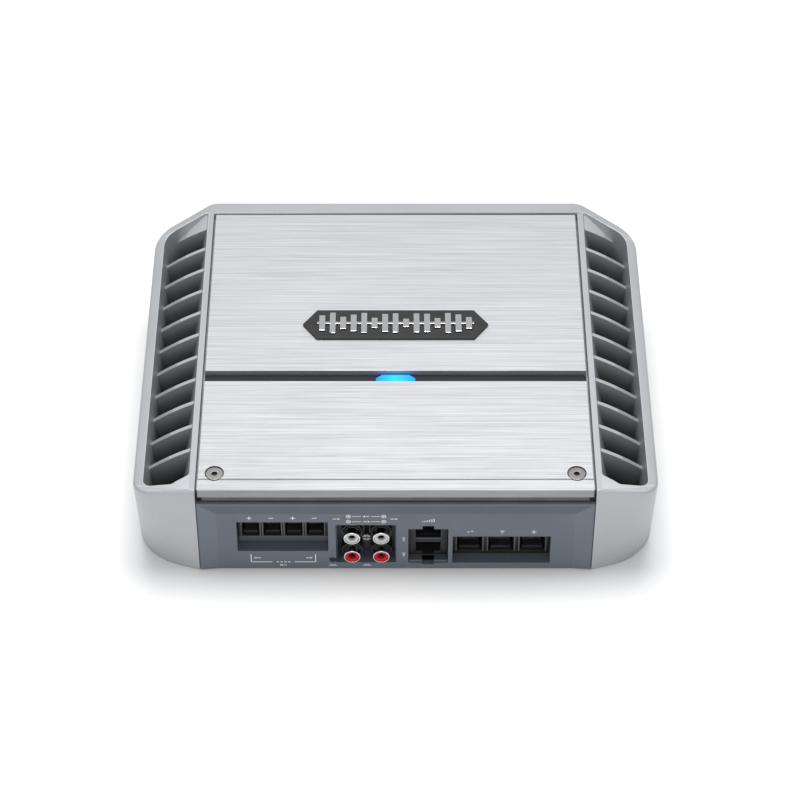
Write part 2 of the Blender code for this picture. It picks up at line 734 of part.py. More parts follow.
def cover_seal():
    """Ribbed rubber strip between the cover's front flange and the connector panel."""
    top = drop(COVER_FLANGE) - GAP
    bottom = drop(PANEL_DROP) + GAP
    seal = box("cover_seal", (-PANEL_HALF, COVER_Y + 0.0006, bottom),
               (PANEL_HALF, BAY_FRONT_Y - 2 * GAP, top), "seal_grey")
    middle = (top + bottom) / 2
    groove = box("seal_groove_cut", (-WIDTH, FRONT_Y, middle - 0.0003),
                 (WIDTH, COVER_Y + 0.0011, middle + 0.0003))
    return cut(seal, groove)


def light_middle_y():
    """Y of the light bar's middle, just behind the cover."""
    return COVER_BACK_Y + GAP + LIGHT_LENGTH / 2


def light_outline(grow):
    """Plan of the light bar, with its two rear corners cut."""
    half = LIGHT_WIDTH / 2 + grow
    front = COVER_BACK_Y + GAP - grow
    back = COVER_BACK_Y + GAP + LIGHT_LENGTH + grow
    cut_x, cut_y = LIGHT_CORNER
    return [(-half, front), (half, front), (half, back - cut_y), (half - cut_x, back),
            (-half + cut_x, back), (-half, back - cut_y)]


def channel_trim():
    """Dark strip on the channel's floor, notched round the light bar."""
    top = drop(TRIM_DROP)
    trim = box("channel_trim", (-PLATE_HALF, COVER_BACK_Y + GAP, RECESS_Z + GAP),
               (PLATE_HALF, REAR_Y - GAP, top), "trim_dark")
    notch = prism("light_notch_cut", light_outline(GAP), RECESS_Z - 0.001, HEIGHT + 0.001)
    return cut(trim, notch)


def light_bar():
    """Blue lens in the channel, with a stem down to its lamp board."""
    lens = prism("light_bar", light_outline(0.0), RECESS_Z + GAP, drop(LIGHT_DROP), "lamp_blue")
    y = light_middle_y()
    stem = box("light_stem", (-LIGHT_STEM[0] / 2, y - LIGHT_STEM[1] / 2, RECESS_Z - DECK_THICK),
               (LIGHT_STEM[0] / 2, y + LIGHT_STEM[1] / 2, RECESS_Z + 0.001))
    return join(lens, stem)


def light_board():
    """Lamp board under the deck."""
    y = light_middle_y()
    top = RECESS_Z - DECK_THICK - GAP
    return box("light_board", (-0.012, y - 0.004, top - 0.0012), (0.012, y + 0.006, top),
               "board_green")


def emblem():
    """Generic badge: a dark shield-ended plaque with a bright relief of level bars."""
    middle = REAR_Y + EMBLEM_BEHIND
    half_x = EMBLEM[0] / 2
    half_y = EMBLEM[1] / 2
    base_z = HEIGHT + GAP
    slant = half_y * 0.7
    plaque = [(-half_x + slant, middle - half_y), (half_x - slant, middle - half_y),
              (half_x, middle), (half_x - slant, middle + half_y),
              (-half_x + slant, middle + half_y), (-half_x, middle)]
    prism("emblem_base", plaque, base_z, base_z + EMBLEM[2], "black_plastic")
    relief_z = base_z + EMBLEM[2] + GAP
    bars = 15
    pitch = (EMBLEM[0] - 2 * slant) / bars
    spine = box("emblem_relief", (-half_x + slant, middle - 0.0007, relief_z),
                (half_x - slant, middle + 0.0007, relief_z + EMBLEM_RELIEF), "chrome")
    columns = bmesh.new()
    for index in range(bars):
        x = (index - (bars - 1) / 2) * pitch
        share = 0.30 + 0.50 * abs(math.sin(index * 1.1 + 0.6))
        reach = (half_y - 0.001) * share
        box_into(columns, (x - pitch * 0.28, middle - reach, relief_z),
                 (x + pitch * 0.28, middle + reach, relief_z + EMBLEM_RELIEF))
    join(spine, add_object("relief_bars", columns))


# ---- controls under the cover ----

def control_places():
    """Names and X places of the three turned controls."""
    return [("gain", -0.018), ("crossover", 0.012), ("boost", 0.042)]


def terminal_screw_places():
    """Each terminal screw's name, X, Y, seat height, radius and length."""
    y = BLOCK_Y + SCREW_SET_BACK
    places = []
    for index in range(4):
        x = SPEAKER_X + (index - 1.5) * SPEAKER_PITCH
        places.append(("speaker_screw_" + str(index + 1), x, y, SPEAKER_TOP, SPEAKER_PORT_TOP,
                       SPEAKER_SCREW))
    for index in range(3):
        x = POWER_X + (index - 1) * POWER_PITCH
        places.append(("power_screw_" + str(index + 1), x, y, POWER_TOP, POWER_PORT_TOP,
                       POWER_SCREW))
    return places


def control_deck():
    """Flat label plate under the cover, with holes for the controls and terminal screws."""
    top = drop(DECK_PLATE_DROP)
    deck = box("control_deck", (-BAY_HALF + GAP, BAY_FRONT_Y, top - DECK_PLATE_THICK),
               (BAY_HALF - GAP, behind(BAY_LENGTH) - GAP, top), "black_plastic")
    holes = bmesh.new()
    for _, x in control_places():
        rod_into(holes, (x, behind(CONTROL_Y), top), KNOB_STEM + 0.0004, 0.006, sides=16)
    for _, x, y, _, _, radius in terminal_screw_places():
        rod_into(holes, (x, y, top), radius + 0.0006, 0.006, sides=12)
    x = SWITCH_X
    box_into(holes, (x - 0.0042, behind(CONTROL_Y) - 0.0016, top - 0.003),
             (x + 0.0042, behind(CONTROL_Y) + 0.0016, top + 0.003))
    return cut(deck, add_object("deck_holes", holes))


def control_board():
    """Small board that carries the controls."""
    top = drop(CONTROL_BOARD_DROP)
    return box("control_board", (-0.060, behind(CONTROL_Y) - 0.012, top - 0.0014),
               (0.052, behind(CONTROL_Y) + 0.012, top), "board_green")


def potentiometer(word, x):
    """A control's square body on the board."""
    low = drop(CONTROL_BOARD_DROP) + GAP
    y = behind(CONTROL_Y)
    return box(word + "_potentiometer", (x - POT_SIZE[0] / 2, y - POT_SIZE[1] / 2, low),
               (x + POT_SIZE[0] / 2, y + POT_SIZE[1] / 2, low + POT_SIZE[2]), "steel")


def knob(word, x):
    """A control's knob and stem in one piece, its origin on the turning axis."""
    y = behind(CONTROL_Y)
    foot = drop(DECK_PLATE_DROP) + GAP
    stem_low = drop(CONTROL_BOARD_DROP) + POT_SIZE[2] + 2 * GAP
    profile = [(0.0, stem_low - foot), (KNOB_STEM, stem_low - foot), (KNOB_STEM, 0.0),
               (KNOB_RADIUS, 0.0), (KNOB_RADIUS * 0.92, KNOB_TALL - 0.0005),
               (KNOB_RADIUS * 0.84, KNOB_TALL), (0.0, KNOB_TALL)]
    made = solid_of_turn(word + "_knob", profile, (x, y, foot), "black_plastic", 24)
    slot = box(word + "_knob_slot", (x - 0.0005, y - 0.0001, foot + KNOB_TALL - 0.0008),
               (x + 0.0005, y + KNOB_RADIUS + 0.001, foot + KNOB_TALL + 0.001))
    return cut(made, slot)


def slide_switch():
    """Crossover mode switch: a body on the board and the slider that sticks through the deck."""
    x = SWITCH_X
    y = behind(CONTROL_Y)
    low = drop(CONTROL_BOARD_DROP) + GAP
    body = box("mode_switch_body", (x - 0.007, y - 0.004, low),
               (x + 0.007, y + 0.004, low + 0.0055), "steel")
    slot = box("switch_slot_cut", (x - 0.0046, y - 0.0015, low + 0.0020),
               (x + 0.0046, y + 0.0015, low + 0.02))
    cut(body, slot)
    slider = box("mode_switch_slider", (x - 0.0011, y - 0.0011, low + 0.0024),
                 (x + 0.0011, y + 0.0011, drop(DECK_PLATE_DROP) + 0.0022), "white_plastic")
    return put(slider, (x, y, low + 0.0024))


# ---- connector panel ----

def panel_block():
    """Panel plate with a shallow bevelled field let into its face."""
    plate = box("front_panel", (-PANEL_HALF, PANEL_FRONT_Y, GAP),
                (PANEL_HALF, PANEL_BACK_Y, drop(PANEL_DROP)), "panel_slate")
    outer_x = PANEL_HALF - PANEL_LIP
    inner_x = outer_x - PANEL_SIDE_BEVEL
    outer_z = drop(PANEL_DROP) - PANEL_LIP
    inner_z = outer_z - PANEL_TOP_BEVEL
    ahead = 0.001
    share = ahead / PANEL_RECESS
    wide_x = outer_x + (outer_x - inner_x) * share
    wide_z = outer_z + (outer_z - inner_z) * share
    low = -0.01
    front = [(-wide_x, PANEL_FRONT_Y - ahead, low), (wide_x, PANEL_FRONT_Y - ahead, low),
             (wide_x, PANEL_FRONT_Y - ahead, wide_z), (-wide_x, PANEL_FRONT_Y - ahead, wide_z)]
    back = [(-inner_x, PANEL_FACE_Y, low), (inner_x, PANEL_FACE_Y, low),
            (inner_x, PANEL_FACE_Y, inner_z), (-inner_x, PANEL_FACE_Y, inner_z)]
    return cut(plate, loft("panel_field_cut", [front, back]))


def opening(x, width, top, bottom):
    """Sides and levels of a panel opening as x and z limits."""
    return x - width / 2, x + width / 2, drop(bottom), drop(top)


def panel_openings():
    """The four openings: speaker, audio, data and power."""
    return {"speaker": opening(SPEAKER_X, SPEAKER_WIDTH, SPEAKER_TOP, SPEAKER_BOTTOM),
            "audio": opening(RCA_X, RCA_WIDTH, RCA_TOP, RCA_BOTTOM),
            "data": opening(JACK_X, JACK_WIDTH, JACK_TOP, JACK_BOTTOM),
            "power": opening(POWER_X, POWER_WIDTH, POWER_TOP, POWER_BOTTOM)}


def front_panel():
    """Connector panel with pockets for the two terminal blocks and plain sockets openings."""
    panel = panel_block()
    pockets = bmesh.new()
    holes = bmesh.new()
    for word, (left, right, low, high) in panel_openings().items():
        if word in ("speaker", "power"):
            box_into(pockets, (left - POCKET_WALL, PANEL_BACK_Y - 0.001, low - POCKET_WALL),
                     (right + POCKET_WALL, BLOCK_Y - GAP, high + POCKET_WALL))
        box_into(holes, (left, FRONT_Y - 0.01, low), (right, BLOCK_Y + 0.01, high))
    left, right, low, high = panel_openings()["data"]
    key = JACK_KEY[0] / 2
    keys = box("panel_key_cut", (JACK_X - key, FRONT_Y - 0.01, low - 0.001),
               (JACK_X + key, BLOCK_Y + 0.01, high + JACK_KEY[1]))
    lamp = rod("panel_lamp_cut", (LED_X, PANEL_FACE_Y, drop(LED_DROP)), LED_RADIUS + GAP, 0.02,
               'Y', sides=16)
    join(panel, add_object("panel_pockets", pockets))
    return cut(panel, add_object("panel_holes", holes), keys, lamp)


def terminal_block(name, x, pitch, count, top, width, port, port_top, screw):
    """Black terminal block: a port for each wire, and a bore over each port for its screw."""
    half = width / 2 - GAP
    block = box(name, (x - half, BLOCK_Y, SEAT_Z), (x + half, BLOCK_Y + BLOCK_LENGTH, drop(top)),
                "black_plastic")
    ports = bmesh.new()
    bores = bmesh.new()
    for index in range(count):
        middle = x + (index - (count - 1) / 2) * pitch
        box_into(ports, (middle - port[0] / 2, BLOCK_Y - 0.001, drop(port_top + port[1])),
                 (middle + port[0] / 2, BLOCK_Y + PORT_DEPTH, drop(port_top)))
        rod_into(bores, (middle, BLOCK_Y + SCREW_SET_BACK, drop((top + port_top) / 2)),
                 screw + SCREW_TRAVEL_ROOM, port_top - top + 0.002, sides=16)
    return cut(block, add_object(name + "_ports", ports), add_object(name + "_bores", bores))


def terminal_screws():
    """Clamping screws, each with its origin on its axis."""
    for name, x, y, top, port_top, radius in terminal_screw_places():
        length = port_top - top
        profile = [(0.0, -length), (radius * 0.8, -length), (radius, -length + 0.0005),
                   (radius, -0.0004), (radius - 0.0004, 0.0), (0.0, 0.0)]
        screw = solid_of_turn(name, profile, (x, y, drop(top)), "steel", 16)
        cut(screw, rod(name + "_socket", (x, y, drop(top)), radius * 0.55, 0.0040, sides=6))


def terminals():
    """Both terminal blocks and their screws."""
    terminal_block("speaker_terminal_block", SPEAKER_X, SPEAKER_PITCH, 4, SPEAKER_TOP,
                   SPEAKER_WIDTH, SPEAKER_PORT, SPEAKER_PORT_TOP, SPEAKER_SCREW)
    terminal_block("power_terminal_block", POWER_X, POWER_PITCH, 3, POWER_TOP, POWER_WIDTH,
                   POWER_PORT, POWER_PORT_TOP, POWER_SCREW)
    terminal_screws()


def rca_housing():
    """Black block behind the audio sockets, with a round boss for each."""
    y = PANEL_FACE_Y + RCA_HOUSING_SETBACK
    half = RCA_WIDTH / 2 - GAP
    body = box("rca_housing", (RCA_X - half, y, SEAT_Z),
               (RCA_X + half, y + RCA_HOUSING_LENGTH, drop(RCA_TOP)), "black_plastic")
    bosses = bmesh.new()
    holes = bmesh.new()
    ahead = RCA_BOSS_LENGTH + 0.001
    back = RCA_SEAT + GAP
    for x in RCA_COLUMNS:
        for level in RCA_ROWS:
            reach = min(RCA_BOSS, drop(level) - SEAT_Z)
            rod_into(bosses, (x, y - RCA_BOSS_LENGTH / 2 + 0.0005, drop(level)), reach,
                     RCA_BOSS_LENGTH + 0.001, 'Y', 20)
            rod_into(holes, (x, y + (back - ahead) / 2, drop(level)), RCA_SHELL + GAP,
                     back + ahead, 'Y', 20)
    rod_into(holes, (sum(RCA_COLUMNS) / 2, y, ground_screw_z()), GROUND_SHANK + GAP, 0.014,
             'Y', 12)
    return cut(join(body, add_object("rca_bosses", bosses)), add_object("rca_holes", holes))


def rca_socket(word, x, level, colour):
    """One audio socket: a metal shell and the coloured insulator inside it."""
    front = PANEL_FACE_Y + RCA_HOUSING_SETBACK - RCA_REACH
    back = PANEL_FACE_Y + RCA_HOUSING_SETBACK + RCA_SEAT
    length = back - front
    inner = RCA_SHELL - RCA_SHELL_WALL
    place = (x, front, drop(level))
    shell = [(RCA_SHELL, -length), (RCA_SHELL, -0.0003), (RCA_SHELL - 0.0002, 0.0),
             (inner, 0.0), (inner, -length)]
    turned("rca_shell_" + word, shell, place, 'Y', "chrome")
    outer = inner - 0.0001
    core = [(outer, -length + 0.0005), (outer, -0.0006), (outer - 0.0004, -0.0002),
            (RCA_CORE + 0.0004, -0.0005), (RCA_CORE, -0.0012), (RCA_CORE, -length + 0.0005)]
    turned("rca_insert_" + word, core, place, 'Y', colour)


def rca_sockets():
    """Two columns of audio sockets, white over red, and the screw between them."""
    rca_housing()
    for column, x in zip(("left", "right"), RCA_COLUMNS):
        for row, level, colour in zip(("upper", "lower"), RCA_ROWS,
                                      ("white_plastic", "red_plastic")):
            rca_socket(row + "_" + column, x, level, colour)
    ground_screw()


def ground_screw_z():
    """Height of the screw between the upper sockets."""
    return drop(RCA_ROWS[0]) - 0.001


def ground_screw():
    """Slotted screw that stands in front of the bosses, between the upper sockets."""
    x = sum(RCA_COLUMNS) / 2
    z = ground_screw_z()
    seat = PANEL_FACE_Y + RCA_HOUSING_SETBACK - RCA_BOSS_LENGTH - GAP
    screw = rod("rca_ground_screw", (x, seat - GROUND_HEAD_TALL / 2, z), GROUND_HEAD,
                GROUND_HEAD_TALL, 'Y', "chrome", 20)
    reach = RCA_BOSS_LENGTH + 0.004
    shank = rod("ground_shank", (x, seat + reach / 2 - 0.0004, z), GROUND_SHANK, reach, 'Y',
                sides=12)
    front = seat - GROUND_HEAD_TALL
    slot = box("ground_slot_cut", (x - GROUND_HEAD * 1.2, front - 0.001, z - 0.0004),
               (x + GROUND_HEAD * 1.2, front + 0.0008, z + 0.0004))
    return cut(join(screw, shank), slot)


def data_jack():
    """Stacked two-port data socket, latch slots up and down."""
    y = PANEL_FACE_Y + JACK_SETBACK
    half = JACK_WIDTH / 2 - GAP
    top = drop(JACK_TOP)
    body = box("data_jack", (JACK_X - half, y, SEAT_Z), (JACK_X + half, y + JACK_LENGTH, top),
               "black_plastic")
    middle = (SEAT_Z + top) / 2
    cuts = bmesh.new()
    keys = bmesh.new()
    for side in (-1, 1):
        near = middle + side * JACK_WEB / 2
        far = near + side * JACK_PORT[1]
        slot = far + side * JACK_KEY[1]
        box_into(cuts, (JACK_X - JACK_PORT[0] / 2, y - 0.001, min(near, far)),
                 (JACK_X + JACK_PORT[0] / 2, y + JACK_PORT_DEPTH, max(near, far)))
        start = far - side * 0.001
        box_into(keys, (JACK_X - JACK_KEY[0] / 2, y - 0.001, min(start, slot)),
                 (JACK_X + JACK_KEY[0] / 2, y + JACK_PORT_DEPTH - 0.002, max(start, slot)))
    return cut(body, add_object("jack_ports_cut", cuts), add_object("jack_keys_cut", keys))


def clip_led():
    """Round-nosed lamp in its hole low on the panel."""
    length = PANEL_FACE_THICK - LED_SETBACK
    profile = [(0.0, -length), (LED_RADIUS, -length), (LED_RADIUS, -0.0010),
               (LED_RADIUS * 0.7, -0.0003), (0.0, 0.0)]
    lamp = solid_of_turn("clip_led", profile, (0, 0, 0), "red_plastic", 12)
    lamp.rotation_euler = (math.radians(90), 0, 0)
    lamp.location = (LED_X, PANEL_FACE_Y + LED_SETBACK, drop(LED_DROP))
    return lamp


# ---- underside and electronics ----

def bottom_plate():
    """Steel plate that closes the casting from below."""
    half = BOARD_HALF + BOTTOM_LAND
    back = BACK_Y - BACK_WALL + BOTTOM_BACK_LAND
    plate = box("bottom_plate", (-half, PANEL_BACK_Y + GAP, GAP), (half, back, BOTTOM_THICK),
                "trim_dark")
    holes = bmesh.new()
    for x, y in bottom_screw_places():
        rod_into(holes, (x, y, BOTTOM_THICK / 2), BOTTOM_SCREW_HEAD + 0.0008,
                 BOTTOM_THICK + 0.0004, sides=20, top_radius=BOTTOM_SCREW_SHANK + 0.0004)
    return cut(plate, add_object("bottom_holes", holes))


def bottom_screws():
    """Countersunk screws that hold the bottom plate."""
    head = BOTTOM_SCREW_HEAD
    shank = BOTTOM_SCREW_SHANK
    profile = [(0.0, 0.0), (head, 0.0), (head, 0.0001), (shank, 0.0009),
               (shank, BOTTOM_SCREW_LENGTH), (0.0, BOTTOM_SCREW_LENGTH)]
    for index, (x, y) in enumerate(bottom_screw_places()):
        name = "bottom_screw_" + str(index + 1)
        screw = solid_of_turn(name, list(reversed(profile)), (x, y, GAP), "steel", 16)
        cut(screw, rod(name + "_socket", (x, y, GAP), 0.0012, 0.0014, sides=6))


def main_board():
    """Circuit board under every connector."""
    return box("main_board", (-BOARD_HALF, BLOCK_Y, BOARD_BOTTOM),
               (BOARD_HALF, BACK_Y - BACK_WALL - GAP, BOARD_TOP), "board_green")


def coil(name, x, y, ring, wire, finish):
    """A toroid lying on the board."""
    steps = 8
    profile = [(ring + wire * math.cos(math.tau * step / steps),
                wire * math.sin(math.tau * step / steps)) for step in range(steps)]
    return turned(name, profile, (x, y, SEAT_Z + wire), 'Z', finish, 18)


def capacitor(name, x, y, radius, tall):
    """An electrolytic can with a rolled shoulder."""
    profile = [(0.0, 0.0), (radius - 0.0005, 0.0), (radius, 0.0006), (radius, tall - 0.001),
               (radius - 0.001, tall), (0.0, tall)]
    return solid_of_turn(name, profile, (x, y, SEAT_Z), "sleeve_blue", 20)


def transistor(name, side, y):
    """A power transistor standing on its legs with its back to the casting's wall."""
    wall = side * (CAVITY_HALF - GAP)
    face = side * (CAVITY_HALF - GAP - 0.0045)
    low = SEAT_Z + 0.008
    body = box(name, (min(wall, face), y - 0.005, low), (max(wall, face), y + 0.005, low + 0.0155),
               "black_plastic")
    legs = bmesh.new()
    middle = side * (CAVITY_HALF - GAP - 0.0025)
    for step in (-1, 0, 1):
        leg_y = y + step * 0.00254
        box_into(legs, (middle - 0.0004, leg_y - 0.0005, SEAT_Z),
                 (middle + 0.0004, leg_y + 0.0005, low + 0.001))
    return join(body, add_object(name + "_legs", legs))


def clamp_bar(name, side, y):
    """Bar that presses the transistors against the wall."""
    near = side * (CAVITY_HALF - 0.0045 - 2 * GAP)
    far = side * (CAVITY_HALF - 0.0045 - 2 * GAP - 0.003)
    low = SEAT_Z + 0.014
    return box(name, (min(near, far), y - 0.024, low), (max(near, far), y + 0.024, low + 0.006),
               "steel")


def electronics():
    """What stands on the main board behind the connectors."""
    main_board()
    rows = behind(0.115)
    coil("power_toroid", -0.045, rows, 0.0145, 0.0072, "copper")
    coil("output_inductor_left", -0.050, behind(0.070), 0.0080, 0.0042, "copper")
    coil("output_inductor_right", -0.022, behind(0.070), 0.0080, 0.0042, "copper")
    capacitor("capacitor_left", 0.020, rows, 0.009, 0.031)
    capacitor("capacitor_right", 0.044, rows, 0.009, 0.031)
    for word, side in (("left", -1), ("right", 1)):
        transistor("transistor_front_" + word, side, rows - 0.014)
        transistor("transistor_rear_" + word, side, rows + 0.014)
        clamp_bar("clamp_bar_" + word, side, rows)


def controls():
    """Deck, board, knobs and switch under the cover."""
    control_deck()
    control_board()
    for word, x in control_places():
        potentiometer(word, x)
        knob(word, x)
    slide_switch()


def main():
    clear_scene()
    heatsink_casting()
    rear_top_plate()
    front_cover()
    cover_screws()
    cover_seal()
    channel_trim()
    light_bar()
    light_board()
    emblem()
    controls()
    front_panel()
    terminals()
    rca_sockets()
    data_jack()
    clip_led()
    bottom_plate()
    bottom_screws()
    electronics()


main()
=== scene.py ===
"""Looks of a two-channel car amplifier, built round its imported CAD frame.

The casting, plates, sockets and screws keep the frame's shapes, with softened edges and worked
finishes. Printed marks, contacts, knobs and windings are modelled here as pieces of their own.
"""
import json
import logging
import math
from collections.abc import Callable, Iterable
from dataclasses import dataclass
from enum import Enum

import bmesh
import bpy
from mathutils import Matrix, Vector

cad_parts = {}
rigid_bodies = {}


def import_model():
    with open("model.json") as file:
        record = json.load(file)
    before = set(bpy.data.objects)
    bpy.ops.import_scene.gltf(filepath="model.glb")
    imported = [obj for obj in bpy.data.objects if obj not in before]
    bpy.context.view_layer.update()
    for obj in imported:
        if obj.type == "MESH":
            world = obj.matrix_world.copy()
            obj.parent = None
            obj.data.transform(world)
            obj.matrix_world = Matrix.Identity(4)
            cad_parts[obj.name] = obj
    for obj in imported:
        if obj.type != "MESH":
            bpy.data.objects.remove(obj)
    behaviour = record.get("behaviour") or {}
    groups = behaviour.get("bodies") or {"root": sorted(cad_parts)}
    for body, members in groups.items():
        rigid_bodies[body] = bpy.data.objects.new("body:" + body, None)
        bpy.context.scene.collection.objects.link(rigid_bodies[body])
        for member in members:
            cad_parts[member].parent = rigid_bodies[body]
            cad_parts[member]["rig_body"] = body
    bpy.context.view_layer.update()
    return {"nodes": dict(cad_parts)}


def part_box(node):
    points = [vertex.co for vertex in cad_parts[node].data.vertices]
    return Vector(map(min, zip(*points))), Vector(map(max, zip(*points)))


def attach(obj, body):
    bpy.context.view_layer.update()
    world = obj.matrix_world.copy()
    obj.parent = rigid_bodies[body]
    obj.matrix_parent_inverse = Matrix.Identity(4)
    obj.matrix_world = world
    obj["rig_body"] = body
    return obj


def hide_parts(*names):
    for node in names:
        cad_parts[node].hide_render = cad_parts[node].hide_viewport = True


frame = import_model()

LOG = logging.getLogger("amplifier")
NODES = frame["nodes"]

Colour = tuple[float, float, float]
Point = tuple[float, float, float]

FaceTest = Callable[[Vector, Vector], bool]     # takes a face's centre and normal

MERGE = 1e-6                # metres within which two corners of a copied node are one
CREASE = math.radians(32)   # edges sharper than this are softened and stay crisp
CAST_CREASE = math.radians(38)
ROUND_CREASE = math.radians(40)
KNOB_CREASE = math.radians(28)
FACING = 0.9                # least share of a face's normal along the axis that it looks along
SLOPE = 0.8                 # the same for a face that leans
PROUD = 0.00012             # how far printed ink stands off its panel
INK = 0.00006               # thickness of printed ink


class Axis(Enum):
    """The directions that a round piece may point in."""

    Y = (math.radians(90), 0.0, 0.0)
    Z = (0.0, 0.0, 0.0)


class Side(Enum):
    """Left and right of the amplifier, seen from its connector end."""

    LEFT = -1
    RIGHT = 1


# ---- wiring of materials ----

class Wiring:
    """Adds and joins the nodes of one material or one node group."""

    def __init__(self, tree: bpy.types.NodeTree) -> None:
        """Work on one node tree."""
        self.tree = tree

    def add(self, kind: str, **settings: object) -> bpy.types.Node:
        """Add a node.

        Args:
            kind: The node's type.
            settings: Attributes to set on it.

        Returns:
            The new node.
        """
        node = self.tree.nodes.new(kind)
        for key, value in settings.items():
            setattr(node, key, value)
        return node

    def feed(self, socket: bpy.types.NodeSocket, value: object) -> None:
        """Link another socket to this one, or set its value.

        Args:
            socket: The input.
            value: A socket, a number or a tuple.
        """
        if isinstance(value, bpy.types.NodeSocket):
            self.tree.links.new(value, socket)
        else:
            socket.default_value = value

    def maths(self, operation: str, first: object, second: object = 0.0) -> bpy.types.NodeSocket:
        """One Math node.

        Args:
            operation: The node's operation.
            first: Its first input.
            second: Its second input.

        Returns:
            The result.
        """
        node = self.add("ShaderNodeMath", operation=operation)
        self.feed(node.inputs[0], first)
        self.feed(node.inputs[1], second)
        return node.outputs[0]

    def remap(self, value: object, low: float, high: float, start: float = 0.0,
              end: float = 1.0) -> bpy.types.NodeSocket:
        """Carry a range of values over to another range, held at both ends.

        Args:
            value: The value to carry over.
            low: Value that gives start.
            high: Value that gives end.
            start: First result.
            end: Last result.

        Returns:
            The result.
        """
        node = self.add("ShaderNodeMapRange", clamp=True)
        for socket, given in zip(node.inputs, (value, low, high, start, end)):
            self.feed(socket, given)
        return node.outputs[0]

    def mix(self, share: object, first: object, second: object) -> bpy.types.NodeSocket:
        """Mix two colours.

        Args:
            share: How much of the second there is.
            first: A colour or a socket.
            second: A colour or a socket.

        Returns:
            The mixed colour.
        """
        node = self.add("ShaderNodeMix", data_type="RGBA")
        self.feed(node.inputs["Factor"], share)
        sockets = [s for s in node.inputs if s.type == "RGBA"]
        for socket, given in zip(sockets, (first, second)):
            self.feed(socket, (*given, 1.0) if isinstance(given, tuple) else given)
        return next(s for s in node.outputs if s.type == "RGBA")

    def place(self) -> bpy.types.NodeSocket:
        """Object coordinates."""
        return self.add("ShaderNodeTexCoord").outputs["Object"]

    def axes(self) -> tuple[bpy.types.NodeSocket, ...]:
        """Object coordinates as separate values.

        Returns:
            X, Y and Z.
        """
        split = self.add("ShaderNodeSeparateXYZ")
        self.feed(split.inputs[0], self.place())
        return tuple(split.outputs)

    def noise(self, where: object, scale: object, detail: float = 2.0,
              roughness: float = 0.5) -> bpy.types.NodeSocket:
        """Noise at a scale.

        Args:
            where: Coordinates.
            scale: Cells a metre.
            detail: Octaves.
            roughness: Weight of the finer octaves.

        Returns:
            A value near 0.5.
        """
        node = self.add("ShaderNodeTexNoise")
        for name, given in (("Vector", where), ("Scale", scale), ("Detail", detail),
                            ("Roughness", roughness)):
            self.feed(node.inputs[name], given)
        return node.outputs[0]

    def stretched(self, density: object) -> bpy.types.NodeSocket:
        """Object coordinates with their own density along each axis.

        Args:
            density: Cells a metre along X, Y and Z.

        Returns:
            The coordinates.
        """
        node = self.add("ShaderNodeMapping")
        self.feed(node.inputs["Vector"], self.place())
        self.feed(node.inputs["Scale"], density)
        return node.outputs[0]

    def group(self, tree: bpy.types.NodeTree, **values: object) -> bpy.types.Node:
        """Place a node group.

        Args:
            tree: The group.
            values: Its inputs.

        Returns:
            The group's node.
        """
        node = self.add("ShaderNodeGroup", node_tree=tree)
        for name, given in values.items():
            self.feed(node.inputs[name], given)
        return node


def new_group(name: str, inputs: dict[str, tuple[str, object]],
              outputs: Iterable[str]) -> tuple[Wiring, bpy.types.Node, bpy.types.Node]:
    """Start a shader node group.

    Args:
        name: The group's name.
        inputs: Socket type and value of each input.
        outputs: Names of the values that it gives out.

    Returns:
        Its wiring, its input node and its output node.
    """
    tree = bpy.data.node_groups.new(name, "ShaderNodeTree")
    for title, (kind, value) in inputs.items():
        socket = tree.interface.new_socket(title, in_out="INPUT", socket_type=kind)
        socket.default_value = value
    for title in outputs:
        tree.interface.new_socket(title, in_out="OUTPUT", socket_type="NodeSocketFloat")
    wiring = Wiring(tree)
    return wiring, wiring.add("NodeGroupInput"), wiring.add("NodeGroupOutput")


def once(make: Callable[[], bpy.types.NodeTree]) -> Callable[[], bpy.types.NodeTree]:
    """Keep what a maker of a node group gives, so that it is built once.

    Args:
        make: The maker.

    Returns:
        A function that gives the same group every time.
    """
    kept: list[bpy.types.NodeTree] = []

    def give() -> bpy.types.NodeTree:
        """The group, made at the first call."""
        if not kept:
            kept.append(make())
        return kept[0]

    return give


@once
def grain_group() -> bpy.types.NodeTree:
    """Fine even grain: a height for bump, and slow patches of lighter and darker shade.

    Returns:
        The group.
    """
    wiring, given, out = new_group(
        "fine_grain", {"Grain": ("NodeSocketFloat", 2000.0), "Patch": ("NodeSocketFloat", 30.0)},
        ("Height", "Shade"))
    fine = wiring.noise(wiring.place(), given.outputs["Grain"], 3.0, 0.6)
    slow = wiring.noise(wiring.place(), given.outputs["Patch"], 3.0, 0.6)
    wiring.feed(out.inputs["Height"], fine)
    shade = wiring.maths("ADD", wiring.maths("MULTIPLY", slow, 0.7),
                         wiring.maths("MULTIPLY", fine, 0.3))
    wiring.feed(out.inputs["Shade"], wiring.remap(shade, 0.35, 0.65))
    return wiring.tree


@once
def brushing_group() -> bpy.types.NodeTree:
    """Brushed lines: long streaks and short hairs along the axis whose density is lowest.

    Returns:
        The group.
    """
    wiring, given, out = new_group(
        "brushed_lines", {"Density": ("NodeSocketVector", (40.0, 1500.0, 1500.0)),
                          "Hair": ("NodeSocketFloat", 2.6)}, ("Height", "Streak"))
    where = wiring.stretched(given.outputs["Density"])
    long_lines = wiring.noise(where, 1.0, 4.0, 0.68)
    hairs = wiring.noise(where, given.outputs["Hair"], 3.0, 0.7)
    both = wiring.maths("ADD", wiring.maths("MULTIPLY", long_lines, 0.6),
                        wiring.maths("MULTIPLY", hairs, 0.4))
    wiring.feed(out.inputs["Height"], both)
    wiring.feed(out.inputs["Streak"], wiring.remap(both, 0.36, 0.64))
    return wiring.tree


